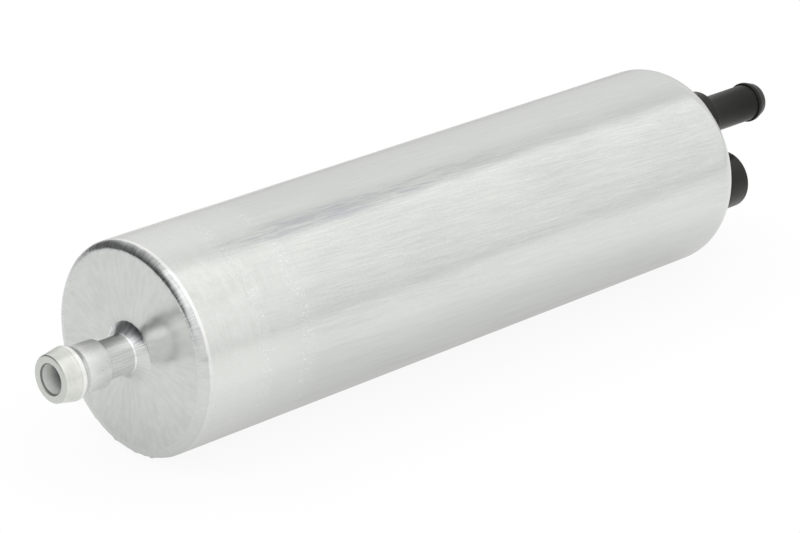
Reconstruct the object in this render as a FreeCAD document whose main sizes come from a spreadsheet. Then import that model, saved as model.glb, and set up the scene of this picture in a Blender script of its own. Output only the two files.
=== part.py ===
"""In-line electric fuel pump: an aluminium can drawn in one piece with its suction nipple, a gear
rotor pump stage, a brushed motor, and a moulded outlet cap with a check valve and a plug socket.

The frame's origin is on the can's axis at the middle of its length, where a strap clamp holds it.
+X runs from the suction nipple to the outlet, and +Z points to the side of the outlet nipple.
Each piece is drawn from its own suction-side face at x = 0 and then placed along the can.
"""

import FreeCAD, Part
import math
import os
import re

import Sketcher

Vector = FreeCAD.Vector
Rotation = FreeCAD.Rotation
X_AXIS = Vector(1, 0, 0)

# Driving dimensions in millimetres, angles in degrees
SIZES = {
    # Can, with its open edge rolled in over the cap
    "can_dia": 43.0,
    "can_length": 154.7,
    "can_wall": 1.5,
    "can_base": 3.0,
    "can_edge_round": 1.5,
    "curl_round": 5.9,
    "curl_angle": 70.0,
    # Suction nipple, with its stations measured out from the can's face
    "suction_length": 19.1,
    "suction_bore": 5.8,
    "suction_lip": 0.4,
    "suction_tip_dia": 9.5,
    "suction_tip_bevel": 0.35,
    "suction_barb_dia": 10.8,
    "suction_barb_at": 15.0,
    "suction_barb_land": 0.9,
    "suction_root_dia": 9.54,
    "suction_root_start": 8.0,
    "suction_root_end": 13.4,
    "suction_neck_dia": 7.74,
    "suction_flare_round": 1.73,
    # Overlap of joined features, and clearances
    "overlap": 1.0,
    "slip_clearance": 0.05,
    "running_clearance": 0.04,
    "seal_clearance": 0.02,
    "seat_clearance": 0.02,
    "spring_clearance": 0.05,
    # Suction strainer, a disc of woven mesh seated over the bore in the can's base
    "strainer_dia": 12.0,
    "strainer_thickness": 1.2,
    # Gear rotors: an inner rotor inside an outer ring that has one lobe more
    "outer_lobes": 7,
    "lobe_circle": 11.0,
    "lobe_round": 3.0,
    "rotor_offset": 1.35,
    "rotor_width": 9.0,
    "outer_rotor_rim": 2.6,
    "rotor_tip_gap": 0.05,
    "rotor_side_gap": 0.03,
    # Pump cover with its suction chamber, and the housing with its offset pocket
    "cover_width": 9.0,
    "cover_rim": 2.0,
    "cover_chamber_depth": 3.0,
    "housing_floor": 8.0,
    "port_inner": 7.8,
    "port_outer": 10.8,
    "port_span": 62.0,
    # Relief valve, in a bore through the pump stage
    "relief_wall": 1.2,
    "relief_angle": 225.0,
    "relief_bore": 4.0,
    "relief_vent": 2.0,
    "relief_floor": 2.0,
    "relief_depth": 3.0,
    "relief_piston_dia": 3.4,
    "relief_piston_length": 4.0,
    "relief_coil_dia": 2.8,
    "relief_wire": 0.4,
    "relief_turns": 5,
    # Motor shaft and its bearings
    "shaft_dia": 6.0,
    "shaft_flat": 2.3,
    "shaft_collar_dia": 9.0,
    "shaft_collar_width": 4.0,
    "shaft_end_gap": 0.3,
    "shaft_overhang": 0.4,
    "thrust_gap": 0.04,
    "end_bush_dia": 9.2,
    "end_bush_width": 8.0,
    # Flux tube, magnets and their springs
    "flux_tube_wall": 2.0,
    "flux_tube_fit": 0.2,
    "magnet_thickness": 3.5,
    "magnet_half_angle": 65.0,
    "magnet_inlet_gap": 14.0,
    "magnet_outlet_gap": 18.0,
    "clip_metal": 0.5,
    "clip_side_angle": 1.4,
    "clip_end_gap": 4.0,
    # Armature
    "air_gap": 0.65,
    "stack_inlet_gap": 22.0,
    "stack_outlet_gap": 24.0,
    "slots": 8,
    "slot_mouth": 2.2,
    "slot_lip": 1.0,
    "slot_shoulder": 0.85,
    "tooth_width": 2.7,
    "slot_bottom": 6.6,
    "slot_bottom_half": 1.0,
    "winding_clearance": 0.25,
    "winding_overhang": 8.0,
    "winding_head_width": 7.2,
    "winding_inner": 4.8,
    "winding_inset": 1.2,
    # Commutator
    "commutator_dia": 14.0,
    "commutator_length": 13.5,
    "commutator_lead_in": 2.5,
    "commutator_core": 5.2,
    "commutator_slit": 0.6,
    "commutator_hook": 1.6,
    "commutator_hook_width": 1.2,
    # Brush holder, with the brushes on the left and the right of the commutator
    "holder_web_at": 12.0,
    "holder_web": 3.0,
    "holder_hub_dia": 13.0,
    "holder_hub_length": 8.0,
    "window_inner": 8.6,
    "window_rim": 2.4,
    "window_half_angle": 14.0,
    "window_first_angle": 35.0,
    "window_step_angle": 36.667,
    "windows": 4,
    "tunnel_setback": 0.8,
    "tunnel_end_inset": 0.4,
    "tunnel_width": 8.6,
    "tunnel_depth": 10.4,
    "brush_at": 6.5,
    "brush_axial": 6.0,
    "brush_across": 7.0,
    "brush_spring_room": 3.66,
    "brush_contact_gap": 0.04,
    "brush_tube_wall": 0.4,
    "brush_tube_lead": 1.8,
    "brush_tube_gap": 0.6,
    "brush_tube_end": 0.5,
    "brush_coil_dia": 4.4,
    "brush_wire": 0.4,
    "brush_turns": 3,
    # Interference chokes between the brushes and the terminals
    "choke_side_room": 6.0,
    "choke_drop": 6.0,
    "choke_core_dia": 3.6,
    "choke_core_length": 9.6,
    "choke_coil_dia": 5.0,
    "choke_wire": 0.8,
    "choke_pitch": 1.5,
    "choke_turns": 3,
    "choke_coil_start": 1.4,
    "choke_lead_slot": 1.1,
    # Outlet cap
    "cap_fit": 0.05,
    "cap_skirt": 14.8,
    "cap_skirt_wall": 3.45,
    "cap_floor_at": 14.0,
    "cap_boss_rise": 0.2,
    # Outlet nipple and its check valve, with stations measured out from the can's rolled edge
    "outlet_height": 7.1,
    "outlet_collar_dia": 12.3,
    "outlet_collar_end": 11.6,
    "outlet_stem_dia": 8.14,
    "outlet_barb_dia": 8.88,
    "outlet_barb_land": 0.8,
    "outlet_barb_length": 3.7,
    "outlet_tip_dia": 7.6,
    "outlet_end": 29.8,
    "outlet_bore": 5.0,
    "valve_seat_width": 3.0,
    "valve_seat_dia": 8.8,
    "valve_seat_hole": 4.0,
    "valve_chamber_dia": 8.2,
    "valve_chamber_end": 29.0,
    "poppet_dia": 6.4,
    "poppet_head": 2.0,
    "poppet_wing": 0.9,
    "poppet_wing_dia": 4.8,
    "poppet_wing_end": 4.0,
    "valve_coil_dia": 5.9,
    "valve_wire": 0.5,
    "valve_turns": 5,
    # Plug socket and its two blades
    "socket_drop": 7.65,
    "socket_height": 12.8,
    "socket_half_span": 3.5,
    "socket_end": 17.4,
    "socket_wall": 1.5,
    "socket_depth": 18.0,
    "socket_key_width": 2.0,
    "socket_key_rise": 1.0,
    "blade_spacing": 8.0,
    "blade_width": 4.8,
    "blade_thickness": 0.8,
    "blade_reach": 14.0,
    "blade_tip": 1.0,
    "blade_foot_at": 11.2,
    "blade_foot_past": 1.2,
    "blade_slot_clearance": 0.02,
    # Suppression capacitor between the two blades
    "capacitor_length": 4.4,
    "capacitor_width": 6.0,
    "capacitor_height": 7.0,
    "capacitor_at": 9.0,
    "capacitor_lead": 0.7,
    "capacitor_lead_at": 2.6,
}

# Stations along the can, from its closed face
HOUSING_AT = "can_base + cover_width"
FLOOR_AT = f"{HOUSING_AT} + rotor_width + 2 * rotor_side_gap"
MOTOR_AT = f"{FLOOR_AT} + housing_floor"
CAP_AT = "can_length - curl_round - cap_skirt"
WEB_AT = f"{CAP_AT} - holder_web"
HOLDER_AT = f"{WEB_AT} - holder_web_at"
MAGNETS_AT = f"{MOTOR_AT} + magnet_inlet_gap"
STACK_AT = f"{MOTOR_AT} + stack_inlet_gap"
COMMUTATOR_AT = f"{HOLDER_AT} - commutator_lead_in"
SHAFT_AT = f"{HOUSING_AT} + shaft_end_gap"

# Radii and lengths that several pieces share
CAN_INSIDE = "(can_dia / 2 - can_wall)"
RING_FIT = f"({CAN_INSIDE} - slip_clearance)"
POCKET_DEPTH = "(rotor_width + 2 * rotor_side_gap)"
ROTOR_ROOT = "(lobe_circle - lobe_round + 2 * rotor_offset + rotor_tip_gap)"
ROTOR_OUTSIDE = f"({ROTOR_ROOT} + outer_rotor_rim)"
SHAFT_HOLE = "(shaft_dia / 2 + running_clearance)"
FLUX_OUTSIDE = f"({CAN_INSIDE} - flux_tube_fit)"
FLUX_INSIDE = f"({FLUX_OUTSIDE} - flux_tube_wall)"
FLUX_LENGTH = f"({WEB_AT} - ({MOTOR_AT}))"
MAGNET_OUTSIDE = f"({FLUX_INSIDE} - slip_clearance)"
MAGNET_INSIDE = f"({MAGNET_OUTSIDE} - magnet_thickness)"
MAGNET_LENGTH = f"({FLUX_LENGTH} - magnet_inlet_gap - magnet_outlet_gap)"
STACK_LENGTH = f"({FLUX_LENGTH} - stack_inlet_gap - stack_outlet_gap)"
STACK_RADIUS = f"({MAGNET_INSIDE} - air_gap)"
SLOT_TOP = f"({STACK_RADIUS} - slot_lip)"
SLOT_HALF = (
    f"(({SLOT_TOP} - slot_shoulder) * tan(180 / slots) - tooth_width / 2 / cos(180 / slots))"
)
BRUSH_FACE = "(commutator_dia / 2 + brush_contact_gap)"
BRUSH_TUBE_START = "(commutator_dia / 2 + brush_tube_lead)"
BRUSH_TUBE_END = f"({FLUX_INSIDE} - brush_tube_gap)"
BRUSH_BACK = f"({BRUSH_TUBE_END} - brush_tube_end - brush_spring_room)"
CAP_OUTSIDE = f"({CAN_INSIDE} - cap_fit)"
SKIRT_INSIDE = f"({CAP_OUTSIDE} - cap_skirt_wall)"
CHOKE_ACROSS = f"({SKIRT_INSIDE} - choke_side_room)"
SOCKET_RADIUS = "(socket_height / 2)"
VALVE_FACE = "(cap_floor_at + valve_seat_width)"

# Where the arcs of a rotor tooth begin, as shares of its turn
FLANK_STARTS = (0.0, 0.067, 0.267, 0.5, 0.733, 0.933)

document = FreeCAD.newDocument("FuelPump")
pieces = []


def make_sheet():
    """The spreadsheet that holds every driving dimension under its name."""
    table = document.addObject("Spreadsheet::Sheet", "Sizes")
    for row, (name, size) in enumerate(SIZES.items(), start=1):
        table.set(f"A{row}", name)
        table.set(f"B{row}", str(size))
        table.setAlias(f"B{row}", name)
    document.recompute()
    return table


sheet = make_sheet()


def bound(text):
    """The expression with each size's name read from the sheet."""
    return re.sub(
        r"[a-z][a-z_]+",
        lambda word: f"Sizes.{word.group()}" if word.group() in SIZES else word.group(),
        text,
    )


def value(text):
    """The expression's value in millimetres or degrees."""
    return float(sheet.evalExpression(bound(text)))


def keep(piece, label, place, across="0", height="0"):
    """Name a finished piece and place it: its station from the can's face, then Y and Z."""
    piece.Label = label
    piece.setExpression("Placement.Base.x", bound(f"{place} - can_length / 2"))
    piece.setExpression("Placement.Base.y", bound(across))
    piece.setExpression("Placement.Base.z", bound(height))
    pieces.append(piece)
    return piece


def new_body(name):
    return document.addObject("PartDesign::Body", f"{name}_body")


def origin_part(body, role):
    """The body's own origin plane or axis of that role."""
    return next(part for part in body.Origin.OriginFeatures if part.Role == role)


def new_sketch(body, name, plane, ahead=None, above=None):
    """A sketch on an origin plane, moved ahead along its normal or above along its own Y."""
    sketch = body.newObject("Sketcher::SketchObject", name)
    sketch.AttachmentSupport = [(origin_part(body, plane), "")]
    sketch.MapMode = "FlatFace"
    if ahead:
        sketch.setExpression("AttachmentOffset.Base.z", bound(ahead))
    if above:
        sketch.setExpression("AttachmentOffset.Base.y", bound(above))
    return sketch


def tie_point(sketch, edge, end, across, up):
    """Hold a sketch point at two bound distances from the sketch's origin."""
    for text, kind, axis in ((across, "DistanceX", -2), (up, "DistanceY", -1)):
        if text == "0":
            sketch.addConstraint(Sketcher.Constraint("PointOnObject", edge, end, axis))
            continue
        index = sketch.addConstraint(
            Sketcher.Constraint(kind, -1, 1, edge, end, value(text))
        )
        sketch.setExpression(f"Constraints[{index}]", bound(text))


def arc_centre(start, end, radius):
    """Centre of the arc under a half circle that turns left (radius > 0) or right (radius < 0)."""
    chord = end - start
    reach = math.sqrt(max(radius**2 - (chord.Length / 2) ** 2, 0.0))
    left = Vector(-chord.y, chord.x, 0).normalize()
    return (start + end) * 0.5 + left * math.copysign(reach, radius)


def draw_outline(sketch, corners):
    """A closed outline. A corner is (x, y), or (x, y, radius) where an arc leads to the next one:
    the radius is positive for an arc that turns left and negative for one that turns right."""
    points = [Vector(value(corner[0]), value(corner[1]), 0) for corner in corners]
    first = sketch.GeometryCount
    ends = []
    for index, corner in enumerate(corners):
        start = points[index]
        end = points[(index + 1) % len(points)]
        if len(corner) == 2:
            sketch.addGeometry(Part.LineSegment(start, end), False)
            ends.append((1, 2))
            continue
        radius = value(corner[2])
        centre = arc_centre(start, end, radius)
        angles = [math.atan2(p.y - centre.y, p.x - centre.x) for p in (start, end)]
        circle = Part.Circle(centre, Vector(0, 0, 1), abs(radius))
        if radius > 0:
            sketch.addGeometry(Part.ArcOfCircle(circle, angles[0], angles[1]), False)
            ends.append((1, 2))
        else:
            sketch.addGeometry(Part.ArcOfCircle(circle, angles[1], angles[0]), False)
            ends.append((2, 1))
    for index, corner in enumerate(corners):
        after = (index + 1) % len(corners)
        joint = (first + index, ends[index][1], first + after, ends[after][0])
        sketch.addConstraint(Sketcher.Constraint("Coincident", *joint))
        tie_point(sketch, first + index, ends[index][0], corner[0], corner[1])
    for index, corner in enumerate(corners):
        if len(corner) == 3:
            datum = Sketcher.Constraint("Radius", first + index, abs(value(corner[2])))
            number = sketch.addConstraint(datum)
            sketch.setExpression(f"Constraints[{number}]", bound(f"abs({corner[2]})"))
    return sketch


def draw_circle(sketch, across, up, radius):
    """A full circle with its centre and radius bound."""
    edge = sketch.GeometryCount
    centre = Vector(value(across), value(up), 0)
    sketch.addGeometry(Part.Circle(centre, Vector(0, 0, 1), value(radius)), False)
    tie_point(sketch, edge, 3, across, up)
    number = sketch.addConstraint(Sketcher.Constraint("Radius", edge, value(radius)))
    sketch.setExpression(f"Constraints[{number}]", bound(radius))
    return sketch


def rectangle(low_x, low_y, high_x, high_y):
    return [(low_x, low_y), (high_x, low_y), (high_x, high_y), (low_x, high_y)]


def turned(body, name, corners, above=None, cut=False):
    """Revolve an (x, radius) outline about X, or about a line above X, to add or to cut."""
    sketch = draw_outline(new_sketch(body, f"{name}_outline", "XZ_Plane", above=above), corners)
    kind = "PartDesign::Groove" if cut else "PartDesign::Revolution"
    feature = body.newObject(kind, name)
    feature.Profile = sketch
    feature.ReferenceAxis = (sketch, ["H_Axis"])
    feature.Angle = 360
    return feature


def padded(body, name, sketch, length):
    """Extrude a sketch along its normal."""
    feature = body.newObject("PartDesign::Pad", name)
    feature.Profile = sketch
    feature.setExpression("Length", bound(length))
    return feature


def pocketed(body, name, sketch, length):
    """Cut a sketch into the body along the sketch's normal, and make sure that it cut."""
    document.recompute()
    before = body.Shape.Volume
    feature = body.newObject("PartDesign::Pocket", name)
    feature.Profile = sketch
    feature.Reversed = True
    feature.setExpression("Length", bound(length))
    document.recompute()
    if not body.Shape.Volume < before:
        raise RuntimeError(f"{name} cut nothing")
    return feature


def repeated(body, name, feature, count, angle="360"):
    """Repeat a feature about the body's X axis."""
    pattern = body.newObject("PartDesign::PolarPattern", name)
    pattern.Originals = [feature]
    pattern.Axis = (origin_part(body, "X_Axis"), [""])
    pattern.setExpression("Angle", bound(angle))
    pattern.setExpression("Occurrences", bound(count))
    body.Tip = pattern
    return pattern


def mirrored(body, name, features, plane):
    """Mirror features across one of the body's origin planes."""
    mirror = body.newObject("PartDesign::Mirrored", name)
    mirror.Originals = features
    mirror.MirrorPlane = (origin_part(body, plane), [""])
    body.Tip = mirror
    return mirror


def round_holes(body, name, places, radius, start, depth):
    """Holes of one radius along X, from the station start and to the depth given."""
    sketch = new_sketch(body, f"{name}_centres", "YZ_Plane", ahead=start)
    for across, up in places:
        draw_circle(sketch, across, up, radius)
    return pocketed(body, name, sketch, depth)


def chords(centre, radius, low, high, steps, skip_last=False):
    """Corners along an arc about (x, radius) from one angle to another, measured from the
    outward direction towards +X, with a straight chord between each two."""
    corners = []
    for step in range(steps + (0 if skip_last else 1)):
        angle = f"(({low}) + (({high}) - ({low})) * {step} / {steps})"
        across = f"{centre[0]} + ({radius}) * sin({angle})"
        corners.append((across, f"{centre[1]} + ({radius}) * cos({angle})"))
    return corners


def tangent_radius(run, drop):
    """Radius of the arc that leaves a line at a tangent and drops off it over the run."""
    return f"((({run}) ^ 2 + ({drop}) ^ 2) / (2 * ({drop})))"


def on_circle(radius, angle):
    """Y and Z of the point at that angle from +Y towards +Z."""
    return f"({radius}) * cos({angle})", f"({radius}) * sin({angle})"


def ring_sector(inner, outer, low, high):
    """Outline between two radii and two angles from +Y, less than a half circle wide."""
    return [
        (*on_circle(inner, low),),
        (*on_circle(outer, low), outer),
        (*on_circle(outer, high),),
        (*on_circle(inner, high), f"-({inner})"),
    ]


def relief_place():
    return on_circle(f"{RING_FIT} - relief_wall - relief_bore / 2", "relief_angle")


def plain_ring(label, place, inner, outer, width):
    """A flat ring about the can's axis."""
    body = new_body(label)
    turned(body, f"{label}_ring", rectangle("0", inner, width, outer))
    return keep(body, label, place)


def coil(radius, length, turns, wire, start_angle=0.0, steps_per_turn=8):
    """A wound wire of square section along its helix about X, faced with flat triangles."""
    steps = round(turns * steps_per_turn)
    half = wire / 2
    rings = []
    for step in range(steps + 1):
        angle = start_angle + 2 * math.pi * step / steps_per_turn
        out = Vector(0, math.cos(angle), math.sin(angle))
        centre = out * radius + X_AXIS * (length * step / steps)
        signs = ((-1, -1), (1, -1), (1, 1), (-1, 1))
        rings.append([centre + out * (half * a) + X_AXIS * (half * b) for a, b in signs])
    outlines = [rings[0], rings[-1]]
    for near, far in zip(rings, rings[1:]):
        for side in range(4):
            after = (side + 1) % 4
            outlines.append([near[side], near[after], far[after]])
            outlines.append([near[side], far[after], far[side]])
    faces = [Part.Face(Part.makePolygon([*points, points[0]])) for points in outlines]
    solid = Part.Solid(Part.makeShell(faces))
    if solid.Volume < 0:
        solid.reverse()
    return solid


def shape_piece(label, shape, place, across="0", height="0"):
    """A piece whose shape is worked out from the sheet, placed like the others."""
    piece = document.addObject("Part::Feature", f"{label}_shape")
    piece.Shape = shape
    return keep(piece, label, place, across, height)


def make_can():
    """Can with its integral suction nipple and the edge that is rolled in over the cap."""
    body = new_body("can")
    radius = "can_dia / 2"
    shoulder = "can_length - curl_round"
    edge_centre = ("can_edge_round", f"{radius} - can_edge_round")
    curl_centre = (shoulder, f"{radius} - curl_round")
    barb_run = "(suction_barb_at - suction_barb_land / 2 - suction_root_end)"
    barb_drop = "((suction_barb_dia - suction_root_dia) / 2)"
    barb_back = tangent_radius(barb_run, barb_drop)
    barb_centre = (
        "-suction_barb_at + suction_barb_land / 2",
        f"suction_barb_dia / 2 - {barb_back}",
    )
    flare_centre = ("-suction_flare_round", "suction_neck_dia / 2 + suction_flare_round")
    inside_curl = "curl_round - can_wall"
    outline = [
        ("-suction_length", "suction_bore / 2 + suction_lip"),
        ("-suction_length", "suction_tip_dia / 2 - suction_tip_bevel"),
        ("-suction_length + suction_tip_bevel", "suction_tip_dia / 2"),
        ("-suction_barb_at - suction_barb_land / 2", "suction_barb_dia / 2"),
        *chords(barb_centre, barb_back, "0", f"asin({barb_run} / {barb_back}) / 1deg", 2),
        ("-suction_root_start", "suction_root_dia / 2"),
        ("-suction_root_start", "suction_neck_dia / 2"),
        *chords(flare_centre, "suction_flare_round", "180", "90", 3),
        *chords(edge_centre, "can_edge_round", "-90", "0", 2),
        *chords(curl_centre, "curl_round", "0", "curl_angle", 3),
        *chords(curl_centre, inside_curl, "curl_angle", "0", 1),
        ("can_base", CAN_INSIDE),
        ("can_base", "suction_bore / 2"),
        ("-suction_length + suction_lip", "suction_bore / 2"),
    ]
    turned(body, "drawn_can", outline)
    return keep(body, "can", "0")


def make_strainer():
    """Disc of woven mesh seated over the suction bore."""
    mesh = document.addObject("Part::Cylinder", "mesh_disc")
    mesh.setExpression("Radius", bound("strainer_dia / 2"))
    mesh.setExpression("Height", bound("strainer_thickness"))
    mesh.Placement = FreeCAD.Placement(Vector(), Rotation(Vector(0, 1, 0), 90))
    keep(mesh, "suction_strainer", "can_base")


def make_pump_cover():
    """Cover on the suction side, with the chamber over the strainer, the kidney port and the
    low pressure end of the relief bore."""
    body = new_body("pump_cover")
    chamber = f"{RING_FIT} - cover_rim"
    outline = [
        ("cover_chamber_depth", "0"),
        ("cover_width", "0"),
        ("cover_width", RING_FIT),
        ("0", RING_FIT),
        ("0", chamber),
        ("cover_chamber_depth", chamber),
    ]
    turned(body, "disc", outline)
    port = new_sketch(body, "port_outline", "YZ_Plane", ahead="cover_chamber_depth")
    low = "180 - port_span"
    draw_outline(port, ring_sector("port_inner", "port_outer", low, "180 + port_span"))
    pocketed(body, "suction_port", port, "cover_width")
    place = [relief_place()]
    floor = "(cover_chamber_depth + relief_floor)"
    round_holes(body, "relief_bore", place, "relief_bore / 2", floor, f"cover_width - {floor}")
    round_holes(body, "relief_vent", place, "relief_vent / 2", "0.0", floor)
    return keep(body, "pump_cover", "can_base")


def make_outer_rotor():
    """Outer ring of the gear rotor pair, with round lobes inside."""
    body = new_body("outer_rotor")
    sketch = new_sketch(body, "ring_circles", "YZ_Plane")
    draw_circle(sketch, "0", "0", ROTOR_OUTSIDE)
    draw_circle(sketch, "0", "0", ROTOR_ROOT)
    padded(body, "ring", sketch, "rotor_width")
    lobe = new_sketch(body, "lobe_outline", "YZ_Plane")
    half = (
        f"acos((lobe_circle ^ 2 + {ROTOR_ROOT} ^ 2 - lobe_round ^ 2)"
        f" / (2 * lobe_circle * {ROTOR_ROOT}))"
    )
    seat = f"{ROTOR_ROOT} + outer_rotor_rim / 2"
    draw_outline(
        lobe,
        [
            (*on_circle(ROTOR_ROOT, half), "lobe_round"),
            (*on_circle(ROTOR_ROOT, f"-({half})"),),
            (*on_circle(seat, f"-({half})"),),
            (*on_circle(seat, half),),
        ],
    )
    one = padded(body, "lobe", lobe, "rotor_width")
    repeated(body, "lobes", one, "outer_lobes")
    return keep(body, "outer_rotor", f"{HOUSING_AT} + rotor_side_gap", height="rotor_offset")


def inner_rotor_outline():
    """Outline swept free by the outer ring's lobes as the pair turns, with one tooth fewer.

    The lobe centres run on a curve about the inner rotor's axis, and the flank lies one lobe
    radius and the tip clearance inside that curve. A lobe centre is nearest the axis, and so the
    outline is at a root, where the curve's angle is zero."""
    lobes = round(value("outer_lobes"))
    circle = value("lobe_circle")
    offset = value("rotor_offset")
    inset = value("lobe_round + rotor_tip_gap")

    def flank(turn):
        """Point of the outline after that share of a full turn along the curve."""
        angle = 2 * math.pi * turn
        place = Vector(
            0,
            circle * math.cos(angle) - offset * math.cos(lobes * angle),
            circle * math.sin(angle) - offset * math.sin(lobes * angle),
        )
        along = Vector(
            0,
            -circle * math.sin(angle) + lobes * offset * math.sin(lobes * angle),
            circle * math.cos(angle) - lobes * offset * math.cos(lobes * angle),
        ).normalize()
        return place + Vector(0, -along.z, along.y) * inset

    teeth = lobes - 1
    starts = [(tooth + start) / teeth for tooth in range(teeth) for start in FLANK_STARTS]
    arcs = []
    for low, high in zip(starts, [*starts[1:], 1.0]):
        arcs.append(Part.Arc(flank(low), flank((low + high) / 2), flank(high)).toShape())
    return Part.Wire(arcs)


def make_inner_rotor():
    """Inner rotor, driven by the flat on the shaft."""
    width = value("rotor_width")
    blank = Part.Face(inner_rotor_outline()).extrude(X_AXIS * width)
    teeth = round(value("outer_lobes")) - 1
    blank.rotate(Vector(), X_AXIS, 90.0 / teeth)
    gap = value("seal_clearance")
    hole = Part.makeCylinder(value("shaft_dia / 2") + gap, width, Vector(), X_AXIS)
    side = value("shaft_dia")
    corner = Vector(0, -side, value("shaft_flat") + gap)
    beyond_flat = Part.makeBox(width, 2 * side, side, corner)
    shape = blank.cut(hole.cut(beyond_flat))
    return shape_piece("inner_rotor", shape, f"{HOUSING_AT} + rotor_side_gap")


def make_pump_housing():
    """Housing with the offset pocket that the rotors turn in, the pressure port and the shaft's
    bearing bore in its floor, and the relief valve's bore and seat."""
    body = new_body("pump_housing")
    width = f"({POCKET_DEPTH} + housing_floor)"
    turned(body, "disc", rectangle("0", SHAFT_HOLE, width, RING_FIT))
    pocket = f"{ROTOR_OUTSIDE} + running_clearance"
    round_holes(body, "pocket", [("0", "rotor_offset")], pocket, "0.0", POCKET_DEPTH)
    port = new_sketch(body, "port_outline", "YZ_Plane", ahead=POCKET_DEPTH)
    draw_outline(port, ring_sector("port_inner", "port_outer", "-port_span", "port_span"))
    pocketed(body, "pressure_port", port, "housing_floor")
    place = [relief_place()]
    depth = f"({POCKET_DEPTH} + relief_depth)"
    round_holes(body, "relief_bore", place, "relief_bore / 2", "0.0", depth)
    rest = "housing_floor - relief_depth"
    round_holes(body, "relief_seat", place, "relief_vent / 2", depth, rest)
    return keep(body, "pump_housing", HOUSING_AT)


def make_relief_valve():
    """Piston and spring that let fuel back to the suction side above the set pressure."""
    across, up = relief_place()
    seat = f"{FLOOR_AT} + relief_depth - seat_clearance"
    back = f"{seat} - relief_piston_length"
    body = new_body("relief_piston")
    piston = rectangle("0", "0", "relief_piston_length", "relief_piston_dia / 2")
    turned(body, "piston", piston)
    keep(body, "relief_piston", back, across, up)
    rest = "(relief_wire / 2 + spring_clearance)"
    floor = f"can_base + cover_chamber_depth + relief_floor + {rest}"
    length = value(f"{back} - {rest} - ({floor})")
    turns = value("relief_turns")
    spring = coil(value("relief_coil_dia / 2"), length, turns, value("relief_wire"))
    return shape_piece("relief_valve_spring", spring, floor, across, up)


def make_shaft():
    """Motor shaft with the flat that drives the inner rotor and a thrust collar."""
    body = new_body("motor_shaft")
    radius = "shaft_dia / 2"
    end = f"({HOLDER_AT} + holder_web_at + holder_hub_length + shaft_overhang - ({SHAFT_AT}))"
    collar = f"({MOTOR_AT} + thrust_gap - ({SHAFT_AT}))"
    outline = [
        ("0", "0"),
        (end, "0"),
        (end, radius),
        (f"{collar} + shaft_collar_width", radius),
        (f"{collar} + shaft_collar_width", "shaft_collar_dia / 2"),
        (collar, "shaft_collar_dia / 2"),
        (collar, radius),
        ("0", radius),
    ]
    turned(body, "bar", outline)
    flat = new_sketch(body, "flat_outline", "YZ_Plane")
    draw_outline(flat, rectangle("-shaft_dia", "shaft_flat", "shaft_dia", "shaft_dia"))
    pocketed(body, "drive_flat", flat, f"{FLOOR_AT} - ({SHAFT_AT})")
    return keep(body, "motor_shaft", SHAFT_AT)


def make_flux_tube():
    """Steel tube that closes the magnetic circuit round the two magnets."""
    plain_ring("flux_tube", MOTOR_AT, FLUX_INSIDE, FLUX_OUTSIDE, FLUX_LENGTH)
    for side, turn in (("left", 0), ("right", 180)):
        body = new_body(f"magnet_{side}")
        sketch = new_sketch(body, "arc_outline", "YZ_Plane")
        low = f"{turn} - magnet_half_angle"
        high = f"{turn} + magnet_half_angle"
        draw_outline(sketch, ring_sector(MAGNET_INSIDE, MAGNET_OUTSIDE, low, high))
        padded(body, "magnet", sketch, MAGNET_LENGTH)
        keep(body, f"magnet_{side}", MAGNETS_AT)


def make_magnet_clips():
    """Channel springs of bent strip that push the magnets apart."""
    outer = f"({FLUX_INSIDE} - slip_clearance)"
    inner = f"({outer} - clip_metal)"
    leg_end = f"({MAGNET_INSIDE} + clip_metal)"
    leg_turn = f"(clip_metal / {outer} * 180 / pi)"
    wide = "(90 - magnet_half_angle - clip_side_angle)"
    narrow = f"({wide} - {leg_turn})"
    for side, middle in (("top", 90), ("bottom", 270)):
        body = new_body(f"magnet_clip_{side}")
        sketch = new_sketch(body, "strip_outline", "YZ_Plane")
        draw_outline(
            sketch,
            [
                (*on_circle(leg_end, f"{middle} - {wide}"),),
                (*on_circle(outer, f"{middle} - {wide}"), outer),
                (*on_circle(outer, f"{middle} + {wide}"),),
                (*on_circle(leg_end, f"{middle} + {wide}"),),
                (*on_circle(leg_end, f"{middle} + {narrow}"),),
                (*on_circle(inner, f"{middle} + {narrow}"), f"-{inner}"),
                (*on_circle(inner, f"{middle} - {narrow}"),),
                (*on_circle(leg_end, f"{middle} - {narrow}"),),
            ],
        )
        padded(body, "strip", sketch, f"{MAGNET_LENGTH} - 2 * clip_end_gap")
        keep(body, f"magnet_clip_{side}", f"{MAGNETS_AT} + clip_end_gap")


def slot_outline(inset):
    """Half-closed slot outline on +Y, drawn in by the inset for the wire that fills it."""
    mouth = f"(slot_mouth / 2 - {inset})"
    top_half = f"({SLOT_HALF} - {inset})"
    bottom_half = f"(slot_bottom_half - {inset})"
    low = f"slot_bottom + {inset}"
    top = f"{SLOT_TOP} - {inset}"
    shoulder = f"{top} - slot_shoulder"
    return low, bottom_half, shoulder, top_half, top, mouth


def sided_ring(radius):
    """Outline with one side to each slot and its corners on a circle of that radius."""
    slots = SIZES["slots"]
    turns = [f"{360 * (number + 0.5) / slots}" for number in range(slots)]
    return [on_circle(radius, turn) for turn in turns]


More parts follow.
